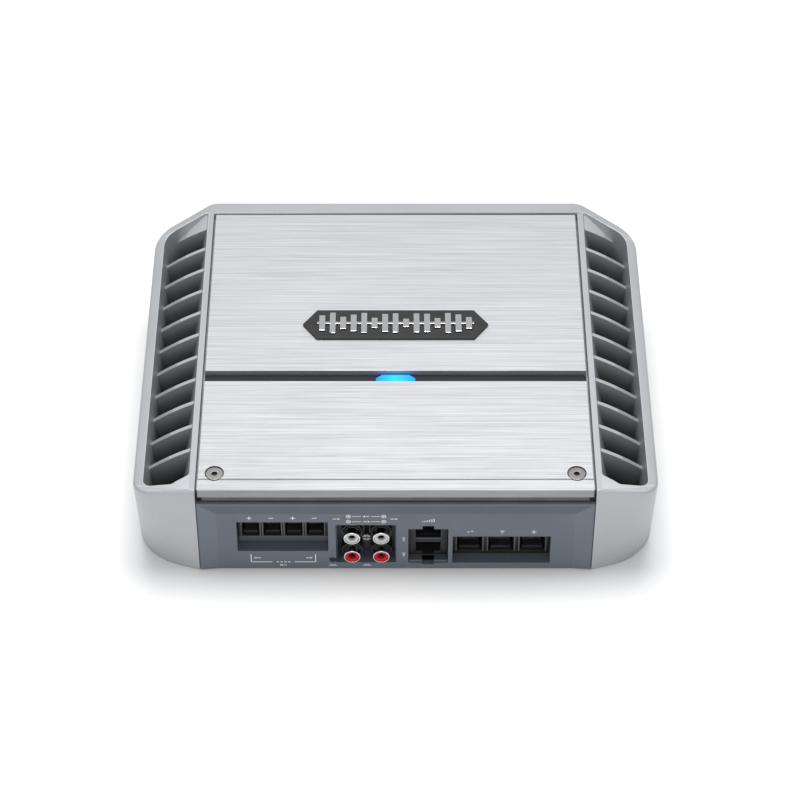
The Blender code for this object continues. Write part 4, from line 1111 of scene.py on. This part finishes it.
@dataclass
class PanelMarks:
    """Printed marks on the connector panel; a drop is measured down from one common level."""

    stroke: float = 0.00048
    sign: float = 0.0024
    target: float = 0.0012
    arrow: float = 0.0008
    face_step: float = 0.0008       # the printed face lies this far behind the panel's front
    level_rise: float = 0.0089      # the common level lies this far above the panel
    sign_drop: float = 0.0193
    bracket_drop: float = 0.0509
    bracket_tall: float = 0.0056
    dash: float = 0.0011
    dash_pitch: float = 0.0019
    speaker_drop: float = 0.0532
    channel_drops: tuple[float, float] = (0.0181, 0.0217)
    channel_line: float = 0.0044
    power_drop: float = 0.0292
    wedge_drop: float = 0.0221
    data_drops: tuple[float, float] = (0.0345, 0.0455)
    foot_drop: float = 0.0536

    def __post_init__(self) -> None:
        """Find the panel's printed face and the common level."""
        low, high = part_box("front_panel")
        self.face_y = low.y + self.face_step - PROUD
        self.top = high.z + self.level_rise
        self.strokes: list[bpy.types.Object] = []

    def bars(self, *places: tuple[float, float, float, float]) -> None:
        """Printed strokes with rounded corners.

        Args:
            places: Middle, height, width and height of each.
        """
        for x, z, wide, tall in places:
            piece = block("ink_stroke", (x - wide / 2, self.face_y, z - tall / 2),
                          (x + wide / 2, self.face_y + INK, z + tall / 2))
            pick_edges(piece, lambda line: abs(
                line.verts[0].co.y - line.verts[1].co.y) > INK / 2)
            bpy.ops.mesh.bevel(offset=min(wide, tall) * 0.3, segments=2, profile=0.5)
            self.strokes.append(piece)

    def disc(self, x: float, z: float, radius: float, sides: int) -> bpy.types.Object:
        """A thin printed disc.

        Args:
            x: Its middle.
            z: Its height.
            radius: Its radius.
            sides: Faces round it.

        Returns:
            The disc.
        """
        piece = drum("ink_disc", (x, self.face_y + INK / 2, z), radius, INK, Axis.Y, sides)
        self.strokes.append(piece)
        return piece

    def sign_at(self, x: float, z: float, plus: bool) -> None:
        """A plus or a minus sign.

        Args:
            x: Its middle.
            z: Its height.
            plus: True for a plus.
        """
        self.bars((x, z, self.sign, self.stroke))
        if plus:
            reach = (self.sign - self.stroke) / 2
            self.bars(*((x, z + side.value * (self.stroke + reach) / 2, self.stroke, reach)
                        for side in Side))

    def arrow_at(self, x: float, z: float, turn: float) -> None:
        """A small triangle that points one way.

        Args:
            x: Its middle.
            z: Its height.
            turn: Degrees from pointing to the right.
        """
        piece = self.disc(x, z, self.arrow, 3)
        low = min(piece.data.vertices, key=lambda v: v.co.z).co
        heading = math.atan2(low.z - z, low.x - x)
        edit(piece)
        turn_about(Axis.Y, math.radians(turn) - heading, (x, self.face_y, z))
        press(piece, FRONT, 0.00008)

    def target_at(self, x: float, z: float) -> None:
        """A ring with a dot, as for one audio channel.

        Args:
            x: Its middle.
            z: Its height.
        """
        outer = self.disc(x, z, self.target, 28)
        pick_faces(outer, facing(1))
        bpy.ops.mesh.inset(thickness=self.target * 0.34)
        bpy.ops.mesh.delete(type="FACE")
        pick_edges(outer, lambda line: line.is_boundary)
        bpy.ops.mesh.bridge_edge_loops()
        press(self.disc(x, z, self.target * 0.36, 16), FRONT, self.target * 0.08)

    def speaker_marks(self) -> None:
        """Signs over the speaker ports, the bracket that pairs them and a loudspeaker sign."""
        places = [middle(f"speaker_screw_{index}").x for index in range(1, 5)]
        for index, x in enumerate(places):
            self.sign_at(x, self.top - self.sign_drop, index % 2 == 0)
        foot = self.top - self.bracket_drop
        above = foot + 0.0030
        centre = sum(places) / len(places)
        for edge, way in ((places[0], 1), (places[-1], -1)):
            reach = abs(centre - edge) - self.bracket_tall
            self.bars((edge, foot + self.bracket_tall / 2, self.stroke, self.bracket_tall),
                      (edge + way * (reach + self.stroke) / 2, foot, reach, self.stroke),
                      (edge + way * 0.0038, above, 0.0016, self.stroke))
            self.arrow_at(edge + way * 0.0022, above, 180 if way > 0 else 0)
        self.bars(*((centre + step * self.dash_pitch, foot, self.dash, self.stroke * 1.4)
                    for step in (-1.5, -0.5, 0.5, 1.5)))
        z = self.top - self.speaker_drop
        self.bars((centre - 0.0014, z, 0.0008, 0.0009), (centre + 0.0005, z, 0.0003, 0.0010),
                  (centre + 0.0012, z, 0.0003, 0.0016))
        self.arrow_at(centre - 0.0006, z, 180)

    def audio_marks(self) -> None:
        """Two lines that run from the input pair to the through pair, with their targets."""
        left = middle("rca_shell_upper_left").x
        right = middle("rca_shell_upper_right").x
        centre = (left + right) / 2
        for drop, way in zip(self.channel_drops, (1, -1)):
            z = self.top - drop
            for x, inward in ((left - 0.0016, 1), (right + 0.0013, -1)):
                self.target_at(x, z)
                self.bars((x + inward * 0.0039, z, self.channel_line, self.stroke * 0.7))
            self.arrow_at(centre - way * 0.0010, z, 180 if way > 0 else 0)
            self.bars((centre + way * 0.0006, z, 0.0016, self.stroke))
        z = self.top - sum(self.channel_drops) / 2
        for x in (left - 0.0070, right + 0.0067):
            self.bars((x - 0.0012, z, 0.0020, self.stroke))
            self.arrow_at(x + 0.0006, z, 0)

    def power_marks(self) -> None:
        """One mark over each power port: a switch line, a ground sign and a plus."""
        z = self.top - self.power_drop
        switched, ground, supply = (middle(f"power_screw_{index}").x for index in range(1, 4))
        self.bars((switched - 0.0009, z, self.dash, self.stroke),
                  (switched + 0.0009, z + 0.0005, self.dash, self.stroke))
        self.bars(*((ground, z + 0.0007 * (1 - step), wide, self.stroke * 0.8)
                    for step, wide in enumerate((0.0022, 0.0014, 0.0006))))
        self.sign_at(supply, z, True)

    def data_marks(self) -> None:
        """A rising wedge of bars over the data ports, and a small one beside each port."""
        jack = middle("data_jack").x
        for step in range(6):
            tall = 0.0006 + 0.00035 * step
            self.bars((jack - 0.0028 + step * 0.0011, self.top - self.wedge_drop + tall / 2,
                       0.0005, tall))
        for drop in self.data_drops:
            self.bars(*((jack - 0.0119, self.top - drop + step * 0.0010,
                         0.0011 + 0.0003 * step, 0.00045) for step in (-1, 0, 1)))

    def foot_marks(self) -> None:
        """Short double lines under the sockets and the clip lamp."""
        audio = (middle("rca_shell_lower_left").x + middle("rca_shell_lower_right").x) / 2
        z = self.top - self.foot_drop
        for x in (middle("clip_led").x, audio):
            self.bars((x, z, 0.0042, self.stroke * 0.7), (x, z + 0.0008, 0.0026,
                                                          self.stroke * 0.7))

    def build(self) -> None:
        """Print every mark as one piece of ink."""
        self.speaker_marks()
        self.audio_marks()
        self.power_marks()
        self.data_marks()
        self.foot_marks()
        printed = joined("panel_marks", self.strokes)
        hand_in(printed, body_of("front_panel"), "white_plastic", FINISH.ink)


@dataclass(frozen=True)
class Mouth:
    """The mouth of one terminal port."""

    x: float
    wide: float
    front: float
    floor: float
    roof: float


@dataclass
class Terminals:
    """One terminal block, with the ribs, saddles and screws of its ports."""

    word: str
    count: int
    wide: float         # a port's width
    tall: float         # and height
    rib: float = 0.00055
    rib_proud: float = 0.0007
    rib_above: float = 0.0012
    saddle: float = 0.0007
    saddle_half: float = 0.40       # share of the port's width
    saddle_start: float = 0.0022
    saddle_end: float = 0.0115
    tooth: float = 0.0003
    tooth_pitch: float = 0.00133

    def build(self) -> None:
        """Make the block and its ports."""
        node = self.word + "_terminal_block"
        dressed(node, "black_plastic", FINISH.black, 0.00015)
        for index in range(1, self.count + 1):
            screw = f"{self.word}_screw_{index}"
            dressed(screw, "steel", FINISH.steel, 0.0001)
            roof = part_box(screw)[0].z
            mouth = Mouth(middle(screw).x, self.wide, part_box(node)[0].y, roof - self.tall, roof)
            self.ribs(f"{self.word}_ribs_{index}", mouth)
            self.wire_saddle(f"{self.word}_cage_{index}", mouth)

    def ribs(self, name: str, mouth: Mouth) -> None:
        """Two upright ribs that frame a port's mouth.

        Args:
            name: The piece's name.
            mouth: The port's mouth.
        """
        made = []
        for side in Side:
            edge = mouth.x + side.value * (mouth.wide / 2 + self.rib * 0.9)
            rib = block(name, (edge - self.rib / 2, mouth.front - self.rib_proud, mouth.floor),
                        (edge + self.rib / 2, mouth.front, mouth.roof + self.rib_above))
            made.append(press(rib, FRONT, self.rib * 0.22, push=(0, -0.00012, 0)))
        piece = joined(name, made)
        soften(piece, 0.00008)
        hand_in(piece, body_of("front_panel"), "panel_slate", FINISH.slate)

    def wire_saddle(self, name: str, mouth: Mouth) -> None:
        """The serrated tin saddle on a port's floor.

        Args:
            name: The piece's name.
            mouth: The port's mouth.
        """
        half = mouth.wide * self.saddle_half
        saddle = block(name, (mouth.x - half, mouth.front + self.saddle_start,
                              mouth.floor + 0.0001),
                       (mouth.x + half, mouth.front + self.saddle_end,
                        mouth.floor + self.saddle))
        pick_faces(saddle, TOP)
        bpy.ops.mesh.subdivide(number_cuts=6)
        pick_faces(saddle, lambda at, normal: TOP(at, normal)
                   and int((at.y - mouth.front) / self.tooth_pitch) % 2 == 0)
        extrude((0, 0, self.tooth))
        bpy.ops.transform.resize(value=(1.0, 0.55, 1.0))
        soften(saddle, 0.0)
        hand_in(saddle, body_of("front_panel"), "steel", FINISH.tin)


@dataclass
class AudioSockets:
    """The phono sockets: shells, coloured insulators, centre sleeves and the screw between."""

    edge: float = 0.00012
    sleeve: float = 0.00135
    sleeve_wall: float = 0.00028
    sleeve_setback: float = 0.0016
    boss: float = 0.0056
    slot_half: float = 0.00035
    slot_wide: float = 0.0020

    def build(self) -> None:
        """Make the housing, four sockets and the grounding screw."""
        housing = dressed("rca_housing", "black_plastic", FINISH.black, 0.00015)
        axes = []
        for row, finish, slot in (("upper", FINISH.white, "white_plastic"),
                                  ("lower", FINISH.red, "red_plastic")):
            for side in Side:
                word = f"{row}_{side.name.lower()}"
                axes.append(middle("rca_shell_" + word))
                self.socket(word, finish, slot)
        part_finish(housing, FINISH.socket_grey, lambda at, normal: FRONT(at, normal) and all(
            math.hypot(at.x - axis.x, at.z - axis.z) > self.boss for axis in axes))
        dressed("rca_ground_screw", "chrome", FINISH.screw, 0.00018)
        self.slot_shade_cross()

    def slot_shade_cross(self) -> None:
        """A black cross on the grounding screw's head: painted shade standing for its slot."""
        centre = middle("rca_ground_screw")
        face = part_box("rca_ground_screw")[0].y
        arms = []
        for wide, tall in ((self.slot_wide, self.slot_half), (self.slot_half, self.slot_wide)):
            arm = block("ground_cross", (centre.x - wide / 2, face - INK, centre.z - tall / 2),
                        (centre.x + wide / 2, face + INK, centre.z + tall / 2))
            arms.append(press(arm, FRONT, self.slot_half * 0.2))
        hand_in(joined("rca_ground_cross", arms), body_of("rca_ground_screw"), "black_plastic",
                FINISH.black)

    def socket(self, word: str, finish: Finish, slot: str) -> None:
        """One socket.

        Args:
            word: Its row and column.
            finish: The insulator's finish.
            slot: The insulator's slot.
        """
        shell = "rca_shell_" + word
        dressed(shell, "chrome", FINISH.chrome, self.edge, crease=ROUND_CREASE)
        dressed("rca_insert_" + word, slot, finish, self.edge, crease=ROUND_CREASE)
        centre = middle(shell)
        low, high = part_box(shell)
        start = low.y + self.sleeve_setback
        length = high.y - start - 0.001
        tube = drum("rca_sleeve_" + word, (centre.x, start + length / 2, centre.z), self.sleeve,
                    length, Axis.Y, 24)
        pick_faces(tube, FRONT)
        bpy.ops.mesh.inset(thickness=self.sleeve_wall)
        extrude((0, length * 0.7, 0))
        soften(tube, 0.00005)
        hand_in(tube, body_of(shell), "black_plastic", FINISH.black)


@dataclass
class DataJack:
    """The stacked data socket, with its spring wires and the pale bars across it."""

    wire: float = 0.00016       # half the width of a spring wire
    wire_start: float = 0.0020
    wire_end: float = 0.0112
    wire_rise: float = 0.0022
    pitch: float = 0.00102
    count: int = 8
    web: float = 0.0014         # from the middle to the wires' root
    bar_rise: float = 0.00105
    bar_half: float = 0.0060
    post_x: float = 0.0078
    post_half: float = 0.0006

    def build(self) -> None:
        """Make the socket and what is in its ports."""
        dressed("data_jack", "black_plastic", FINISH.black, 0.00012)
        low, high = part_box("data_jack")
        centre = middle("data_jack")
        self.wires("data_wires_upper", centre, low.y, 1)
        self.wires("data_wires_lower", centre, low.y, -1)
        self.bars(centre, low, high)

    def wires(self, name: str, centre: Vector, front: float, up: int) -> None:
        """Spring wires that slope into one port from its web.

        Args:
            name: The piece's name.
            centre: Middle of the socket.
            front: Y of the socket's face.
            up: 1 for the upper port, -1 for the lower.
        """
        web = centre.z + up * self.web
        bottom, top = sorted((web - up * self.wire * 0.2, web + up * self.wire * 1.6))
        made = []
        for index in range(self.count):
            at = centre.x + (index - (self.count - 1) / 2) * self.pitch
            strip = block(name, (at - self.wire, front + self.wire_start, bottom),
                          (at + self.wire, front + self.wire_end, top))
            made.append(press(strip, REAR, push=(0, 0, up * self.wire_rise)))
        piece = joined(name, made)
        soften(piece, 0.00004)
        hand_in(piece, body_of("data_jack"), "copper", FINISH.brass)

    def bars(self, centre: Vector, low: Vector, high: Vector) -> None:
        """Pale edges of the web and the two grey posts beside the ports.

        Args:
            centre: Middle of the socket.
            low: Its lowest corner.
            high: Its highest corner.
        """
        bars, posts = [], []
        for side in Side:
            z = centre.z + side.value * self.bar_rise
            bars.append(block("data_bar", (centre.x - self.bar_half, low.y - 0.00035, z - 0.0002),
                              (centre.x + self.bar_half, low.y, z + 0.0002)))
            x = centre.x + side.value * self.post_x
            posts.append(block("data_post", (x - self.post_half, low.y - 0.0005, low.z + 0.0035),
                               (x + self.post_half, low.y, high.z - 0.0012)))
        for name, pieces, finish in (("data_jack_bars", bars, FINISH.slate),
                                     ("data_jack_posts", posts, FINISH.deck)):
            for piece in pieces:
                press(piece, FRONT, 0.00012, push=(0, -0.00012, 0))
            made = joined(name, pieces)
            soften(made, 0.00006)
            hand_in(made, body_of("data_jack"), "panel_slate", finish)


@dataclass
class ConnectorPanel:
    """The slate panel, its printed marks, and everything that plugs into it."""

    edge: float = 0.00022
    gap: float = 0.0001
    thick: float = 0.0038           # from the panel's front to its back
    speaker_foot: float = 0.0132
    speaker_lip: float = 0.0106
    audio_foot: tuple[float, float] = (0.0038, 0.0046)
    audio_face: float = 0.0062
    data_foot: tuple[float, float] = (0.0040, 0.0056)
    data_key: float = 0.0030
    top_lean: float = 0.08
    side_lean: float = 0.07

    def ledges(self) -> None:
        """What closes the openings round the blocks and sockets: sills, floors and side walls."""
        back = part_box("front_panel")[0].y + self.thick
        low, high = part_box("speaker_terminal_block")
        front = low.y - self.gap
        corners = [((low.x, front - 0.0004, self.speaker_foot),
                    (high.x, front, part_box("speaker_screw_1")[0].z - self.speaker_lip))]
        low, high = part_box("rca_housing")
        face = low.y + self.audio_face - self.gap
        under, floor = self.audio_foot
        corners += [((low.x, back, under), (high.x, face, floor)),
                    ((low.x - 0.0002, back, floor), (low.x + 0.0003, face, high.z)),
                    ((high.x - 0.0003, back, floor), (high.x + 0.0002, face, high.z))]
        low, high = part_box("data_jack")
        key = middle("data_jack").x
        under, floor = self.data_foot
        for near, far in ((low.x, key - self.data_key), (key + self.data_key, high.x)):
            corners.append(((near, back - 0.0022, under), (far, low.y - self.gap, floor)))
        sills = joined("panel_sills", [
            press(block("sill", *pair), FRONT, 0.0001, push=(0, -0.00006, 0))
            for pair in corners])
        soften(sills, 0.0)
        # The sills take the darker slate: painted shade in the pockets.
        hand_in(sills, body_of("front_panel"), "panel_slate", FINISH.slate_shade)

    def build(self) -> None:
        """Make the panel, then its marks, terminals and sockets."""
        panel = dressed("front_panel", "panel_slate", FINISH.slate, self.edge)
        # Painted shade on the top bevel, painted light on the side facets.
        part_finish(panel, FINISH.slate_shade,
                    lambda at, normal: FRONT(at, normal) and normal.z < -self.top_lean)
        part_finish(panel, FINISH.slate_side_light,
                    lambda at, normal: FRONT(at, normal) and abs(normal.x) > self.side_lean)
        self.ledges()
        for assembly in (PanelMarks(),
                         Terminals("speaker", count=4, wide=0.0083, tall=0.0104),
                         Terminals("power", count=3, wide=0.0122, tall=0.0112),
                         AudioSockets(), DataJack()):
            assembly.build()
        dressed("clip_led", "red_plastic", FINISH.black, 0.0001)


@dataclass
class Controls:
    """What is under the cover: deck, board, knobs and switch."""

    flutes: int = 24
    flute: float = 0.00022
    cap: float = 0.0052             # height of a knob above its stem
    skirt: float = 0.0011
    stem: float = 0.0026
    pointer: float = 0.0004
    pointer_rise: float = 0.00006
    dial: float = 0.0077
    dial_ticks: int = 11
    dial_sweep: float = math.radians(280)
    tick_half: float = 0.00016

    def build(self) -> None:
        """Make the deck, the three knobs and the switch."""
        dressed("control_deck", "black_plastic", FINISH.deck, 0.00015)
        dressed("control_board", "board_green", FINISH.board, 0.00012)
        dressed("mode_switch_body", "steel", FINISH.steel, 0.0002)
        dressed("mode_switch_slider", "white_plastic", FINISH.white, 0.00018)
        for word in ("gain", "crossover", "boost"):
            dressed(word + "_potentiometer", "steel", FINISH.steel, 0.0003)
            self.knob(word + "_knob")
            self.dial_marks(word)
        self.switch_marks()

    def knob(self, node: str) -> None:
        """A fluted knob with a skirt, a dished cap and a bright pointer.

        Args:
            node: The CAD node that it stands for.
        """
        low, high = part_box(node)
        centre = (low + high) / 2
        radius = (high.x - low.x) / 2
        foot = high.z - self.cap
        knob = drum(node + "_fluted", (centre.x, centre.y, (foot + high.z) / 2), radius * 0.94,
                    high.z - foot, sides=self.flutes * 2)
        press(knob, TOP, radius * 0.10, radius * 0.12, push=(0, 0, -0.0003))
        side = math.tau / self.flutes / 2
        pick_faces(knob, lambda at, normal: abs(normal.z) < 1 - FACING and round(
            math.atan2(at.y - centre.y, at.x - centre.x) / side - 0.5) % 2 == 0)
        bpy.ops.mesh.inset(thickness=self.flute, use_individual=True)
        bpy.ops.mesh.extrude_faces_move(TRANSFORM_OT_shrink_fatten={"value": -self.flute})
        base = drum(node + "_skirt", (centre.x, centre.y, foot + self.skirt / 2), radius * 0.999,
                    self.skirt, sides=48)
        stem = drum(node + "_stem", (centre.x, centre.y, (low.z + foot) / 2), self.stem,
                    foot - low.z + 0.0002, sides=24)
        for part in (base, stem):
            pick_faces(part, facing(2))
            bpy.ops.mesh.bevel(offset=0.0002, segments=2)
        piece = joined(node + "_fluted", [knob, base, stem])
        soften(piece, 0.00008, crease=KNOB_CREASE)
        hand_in(piece, body_of(node), "black_plastic", FINISH.black, node)
        line = block(node + "_pointer",
                     (centre.x - self.pointer / 2, centre.y + radius * 0.15, high.z - 0.00038),
                     (centre.x + self.pointer / 2, centre.y + radius * 0.86, high.z - 0.00012))
        press(line, TOP, self.pointer * 0.2, push=(0, 0, self.pointer_rise))
        soften(line, 0.0)
        hand_in(line, body_of(node), "white_plastic", FINISH.ink)

    def tick(self, x: float, y: float, turn: float, long_side: float) -> bpy.types.Object:
        """One printed tick on the deck, turned about Z.

        Args:
            x: Its middle across the deck.
            y: Its middle along the deck.
            turn: Its angle.
            long_side: Its length.

        Returns:
            The tick.
        """
        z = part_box("control_deck")[1].z + INK
        piece = block("deck_tick", (x - long_side / 2, y - self.tick_half, z),
                      (x + long_side / 2, y + self.tick_half, z + INK))
        edit(piece)
        turn_about(Axis.Z, -turn, (x, y, z))
        return press(piece, TOP, 0.00004)

    def dial_marks(self, word: str) -> None:
        """A ring of ticks round a knob, from its lowest to its highest setting.

        Args:
            word: The control's name.
        """
        centre = middle(word + "_knob")
        ticks = []
        for index in range(self.dial_ticks):
            turn = math.radians(90) + self.dial_sweep * (0.5 - index / (self.dial_ticks - 1))
            ticks.append(self.tick(centre.x + self.dial * math.cos(turn),
                                   centre.y + self.dial * math.sin(turn), turn,
                                   0.0016 if index % 5 else 0.0024))
        hand_in(joined(word + "_dial_marks", ticks), body_of("control_deck"), "white_plastic",
                FINISH.ink)

    def switch_marks(self) -> None:
        """Two ticks beside the slide switch."""
        centre = middle("mode_switch_slider")
        ticks = [self.tick(centre.x + side.value * 0.0031, centre.y + 0.0036,
                           math.radians(90), 0.0022) for side in Side]
        hand_in(joined("switch_marks", ticks), body_of("control_deck"), "white_plastic",
                FINISH.ink)


@dataclass
class Electronics:
    """The board and what stands on it behind the connectors."""

    turns_large: int = 34
    turns_small: int = 24
    vent_inset: float = 0.0016
    vent_thick: float = 0.0003
    vent_dish: float = 0.00016

    def build(self) -> None:
        """Make the board, coils, capacitors, transistors and their clamps."""
        dressed("main_board", "board_green", FINISH.board, 0.0001)
        self.coil("power_toroid", self.turns_large)
        for side in Side:
            word = side.name.lower()
            self.coil("output_inductor_" + word, self.turns_small)
            self.capacitor("capacitor_" + word)
            dressed("clamp_bar_" + word, "steel", FINISH.steel, 0.0004)
            for end in ("front", "rear"):
                dressed(f"transistor_{end}_{word}", "black_plastic", FINISH.black, 0.0003)

    def coil(self, node: str, turns: int) -> None:
        """A toroid: a dark core with a layer of separate copper turns.

        Args:
            node: The CAD node that it stands for.
            turns: How many turns of wire it has.
        """
        low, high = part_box(node)
        centre = (low + high) / 2
        section = (high.z - low.z) / 2
        major = (high.x - low.x) / 2 - section
        wire = min(section * 0.16, major * math.pi / turns * 0.30)
        core = ring(node + "_core", centre, major, section - 2 * wire, around=56, section=16)
        soften(core, 0.0)
        hand_in(core, body_of(node), "copper", FINISH.core)
        loop = ring(node + "_turn", (centre.x + major, centre.y, centre.z), section - wire, wire,
                    Axis.Y, around=18, section=6)
        loops = [loop] + [turned(loop, -math.tau * index / turns, centre)
                          for index in range(1, turns)]
        winding = joined(node + "_winding", loops)
        soften(winding, 0.0)
        hand_in(winding, body_of(node), "copper", FINISH.copper, node)

    def capacitor(self, node: str) -> None:
        """A sleeved can with a bright scored top.

        Args:
            node: The CAD node.
        """
        dressed(node, "sleeve_blue", FINISH.sleeve, 0.0003, 3, ROUND_CREASE)
        low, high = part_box(node)
        centre = (low + high) / 2
        radius = (high.x - low.x) / 2 - self.vent_inset
        cap = drum(node + "_vent", (centre.x, centre.y, high.z + 0.00008), radius,
                   self.vent_thick)
        press(cap, TOP, radius * 0.12, radius * 0.55, push=(0, 0, -self.vent_dish))
        soften(cap, 0.00004)
        hand_in(cap, body_of(node), "steel", FINISH.steel)


@dataclass
class Studio:
    """Pale floor, soft light and the camera."""

    floor_half: float = 2.5
    floor_z: float = -0.0001
    floor_curl: Point = (0, 0.6, 0.5)
    sky: float = 0.50
    camera_place: Point = (0.0, -0.98378, 0.99671)
    camera_tilt: float = math.radians(45)
    lens: float = 121.5
    shift_x: float = 0.0055

    def build(self) -> None:
        """Make the floor, the lights and the camera."""
        self.floor()
        self.world()
        self.softbox("overhead_light", (0.0, 0.26, 1.6), (0.0, 0.0, 0.0), 0.8, 21.0)
        self.softbox("front_light", (0.0, -1.7, 0.75), (0.0, 0.0, 0.02), 1.0, 6.5)
        self.camera()

    def floor(self) -> None:
        """A wide sheet of pale paper that curls up far behind the amplifier."""
        object_mode()
        bpy.ops.mesh.primitive_plane_add(size=2 * self.floor_half, location=(0, 0, self.floor_z))
        sheet = settle(bpy.context.object, "studio_floor_sheet")
        pick_edges(sheet, lambda line: all(v.co.y > self.floor_half * 0.9 for v in line.verts))
        extrude(self.floor_curl)
        object_mode()
        sheet.data.materials.append(FINISH.paper.make())

    def world(self) -> None:
        """An even white surround."""
        sky = bpy.data.worlds.new("studio_sky")
        bpy.context.scene.world = sky
        sky.use_nodes = True
        backdrop = sky.node_tree.nodes["Background"]
        backdrop.inputs["Color"].default_value = (0.985, 0.992, 1.0, 1.0)
        backdrop.inputs["Strength"].default_value = self.sky

    def softbox(self, name: str, place: Point, target: Point, size: float, power: float) -> None:
        """A square soft light that faces a point.

        Args:
            name: The light's name.
            place: Where it stands.
            target: What it faces.
            size: Its side.
            power: Its watts.
        """
        object_mode()
        aim = (Vector(target) - Vector(place)).to_track_quat("-Z", "Y").to_euler()
        bpy.ops.object.light_add(type="AREA", location=place, rotation=aim)
        lamp = bpy.context.object
        lamp.name = name
        lamp.data.shape = "SQUARE"
        lamp.data.size = size
        lamp.data.energy = power

    def camera(self) -> None:
        """The camera, level with the connector end and tilted down."""
        object_mode()
        bpy.ops.object.camera_add(location=self.camera_place,
                                  rotation=(self.camera_tilt, 0.0, 0.0))
        camera = bpy.context.object
        camera.name = "studio_camera"
        camera.data.sensor_width = 36.0
        camera.data.lens = self.lens
        camera.data.shift_x = self.shift_x
        camera.data.clip_start = 0.01
        bpy.context.scene.camera = camera


def main() -> None:
    """Build the studio and every sub-assembly, in order."""
    logging.basicConfig(level=logging.INFO, format="%(name)s: %(message)s")
    bpy.context.scene.view_settings.view_transform = "Standard"
    for assembly in (Studio(), Housing(), TopPlates(), Emblem(), ConnectorPanel(), Controls(),
                     Electronics()):
        assembly.build()
        LOG.info("%s is built", type(assembly).__name__)
    object_mode()


if __name__ == "__main__":
    main()
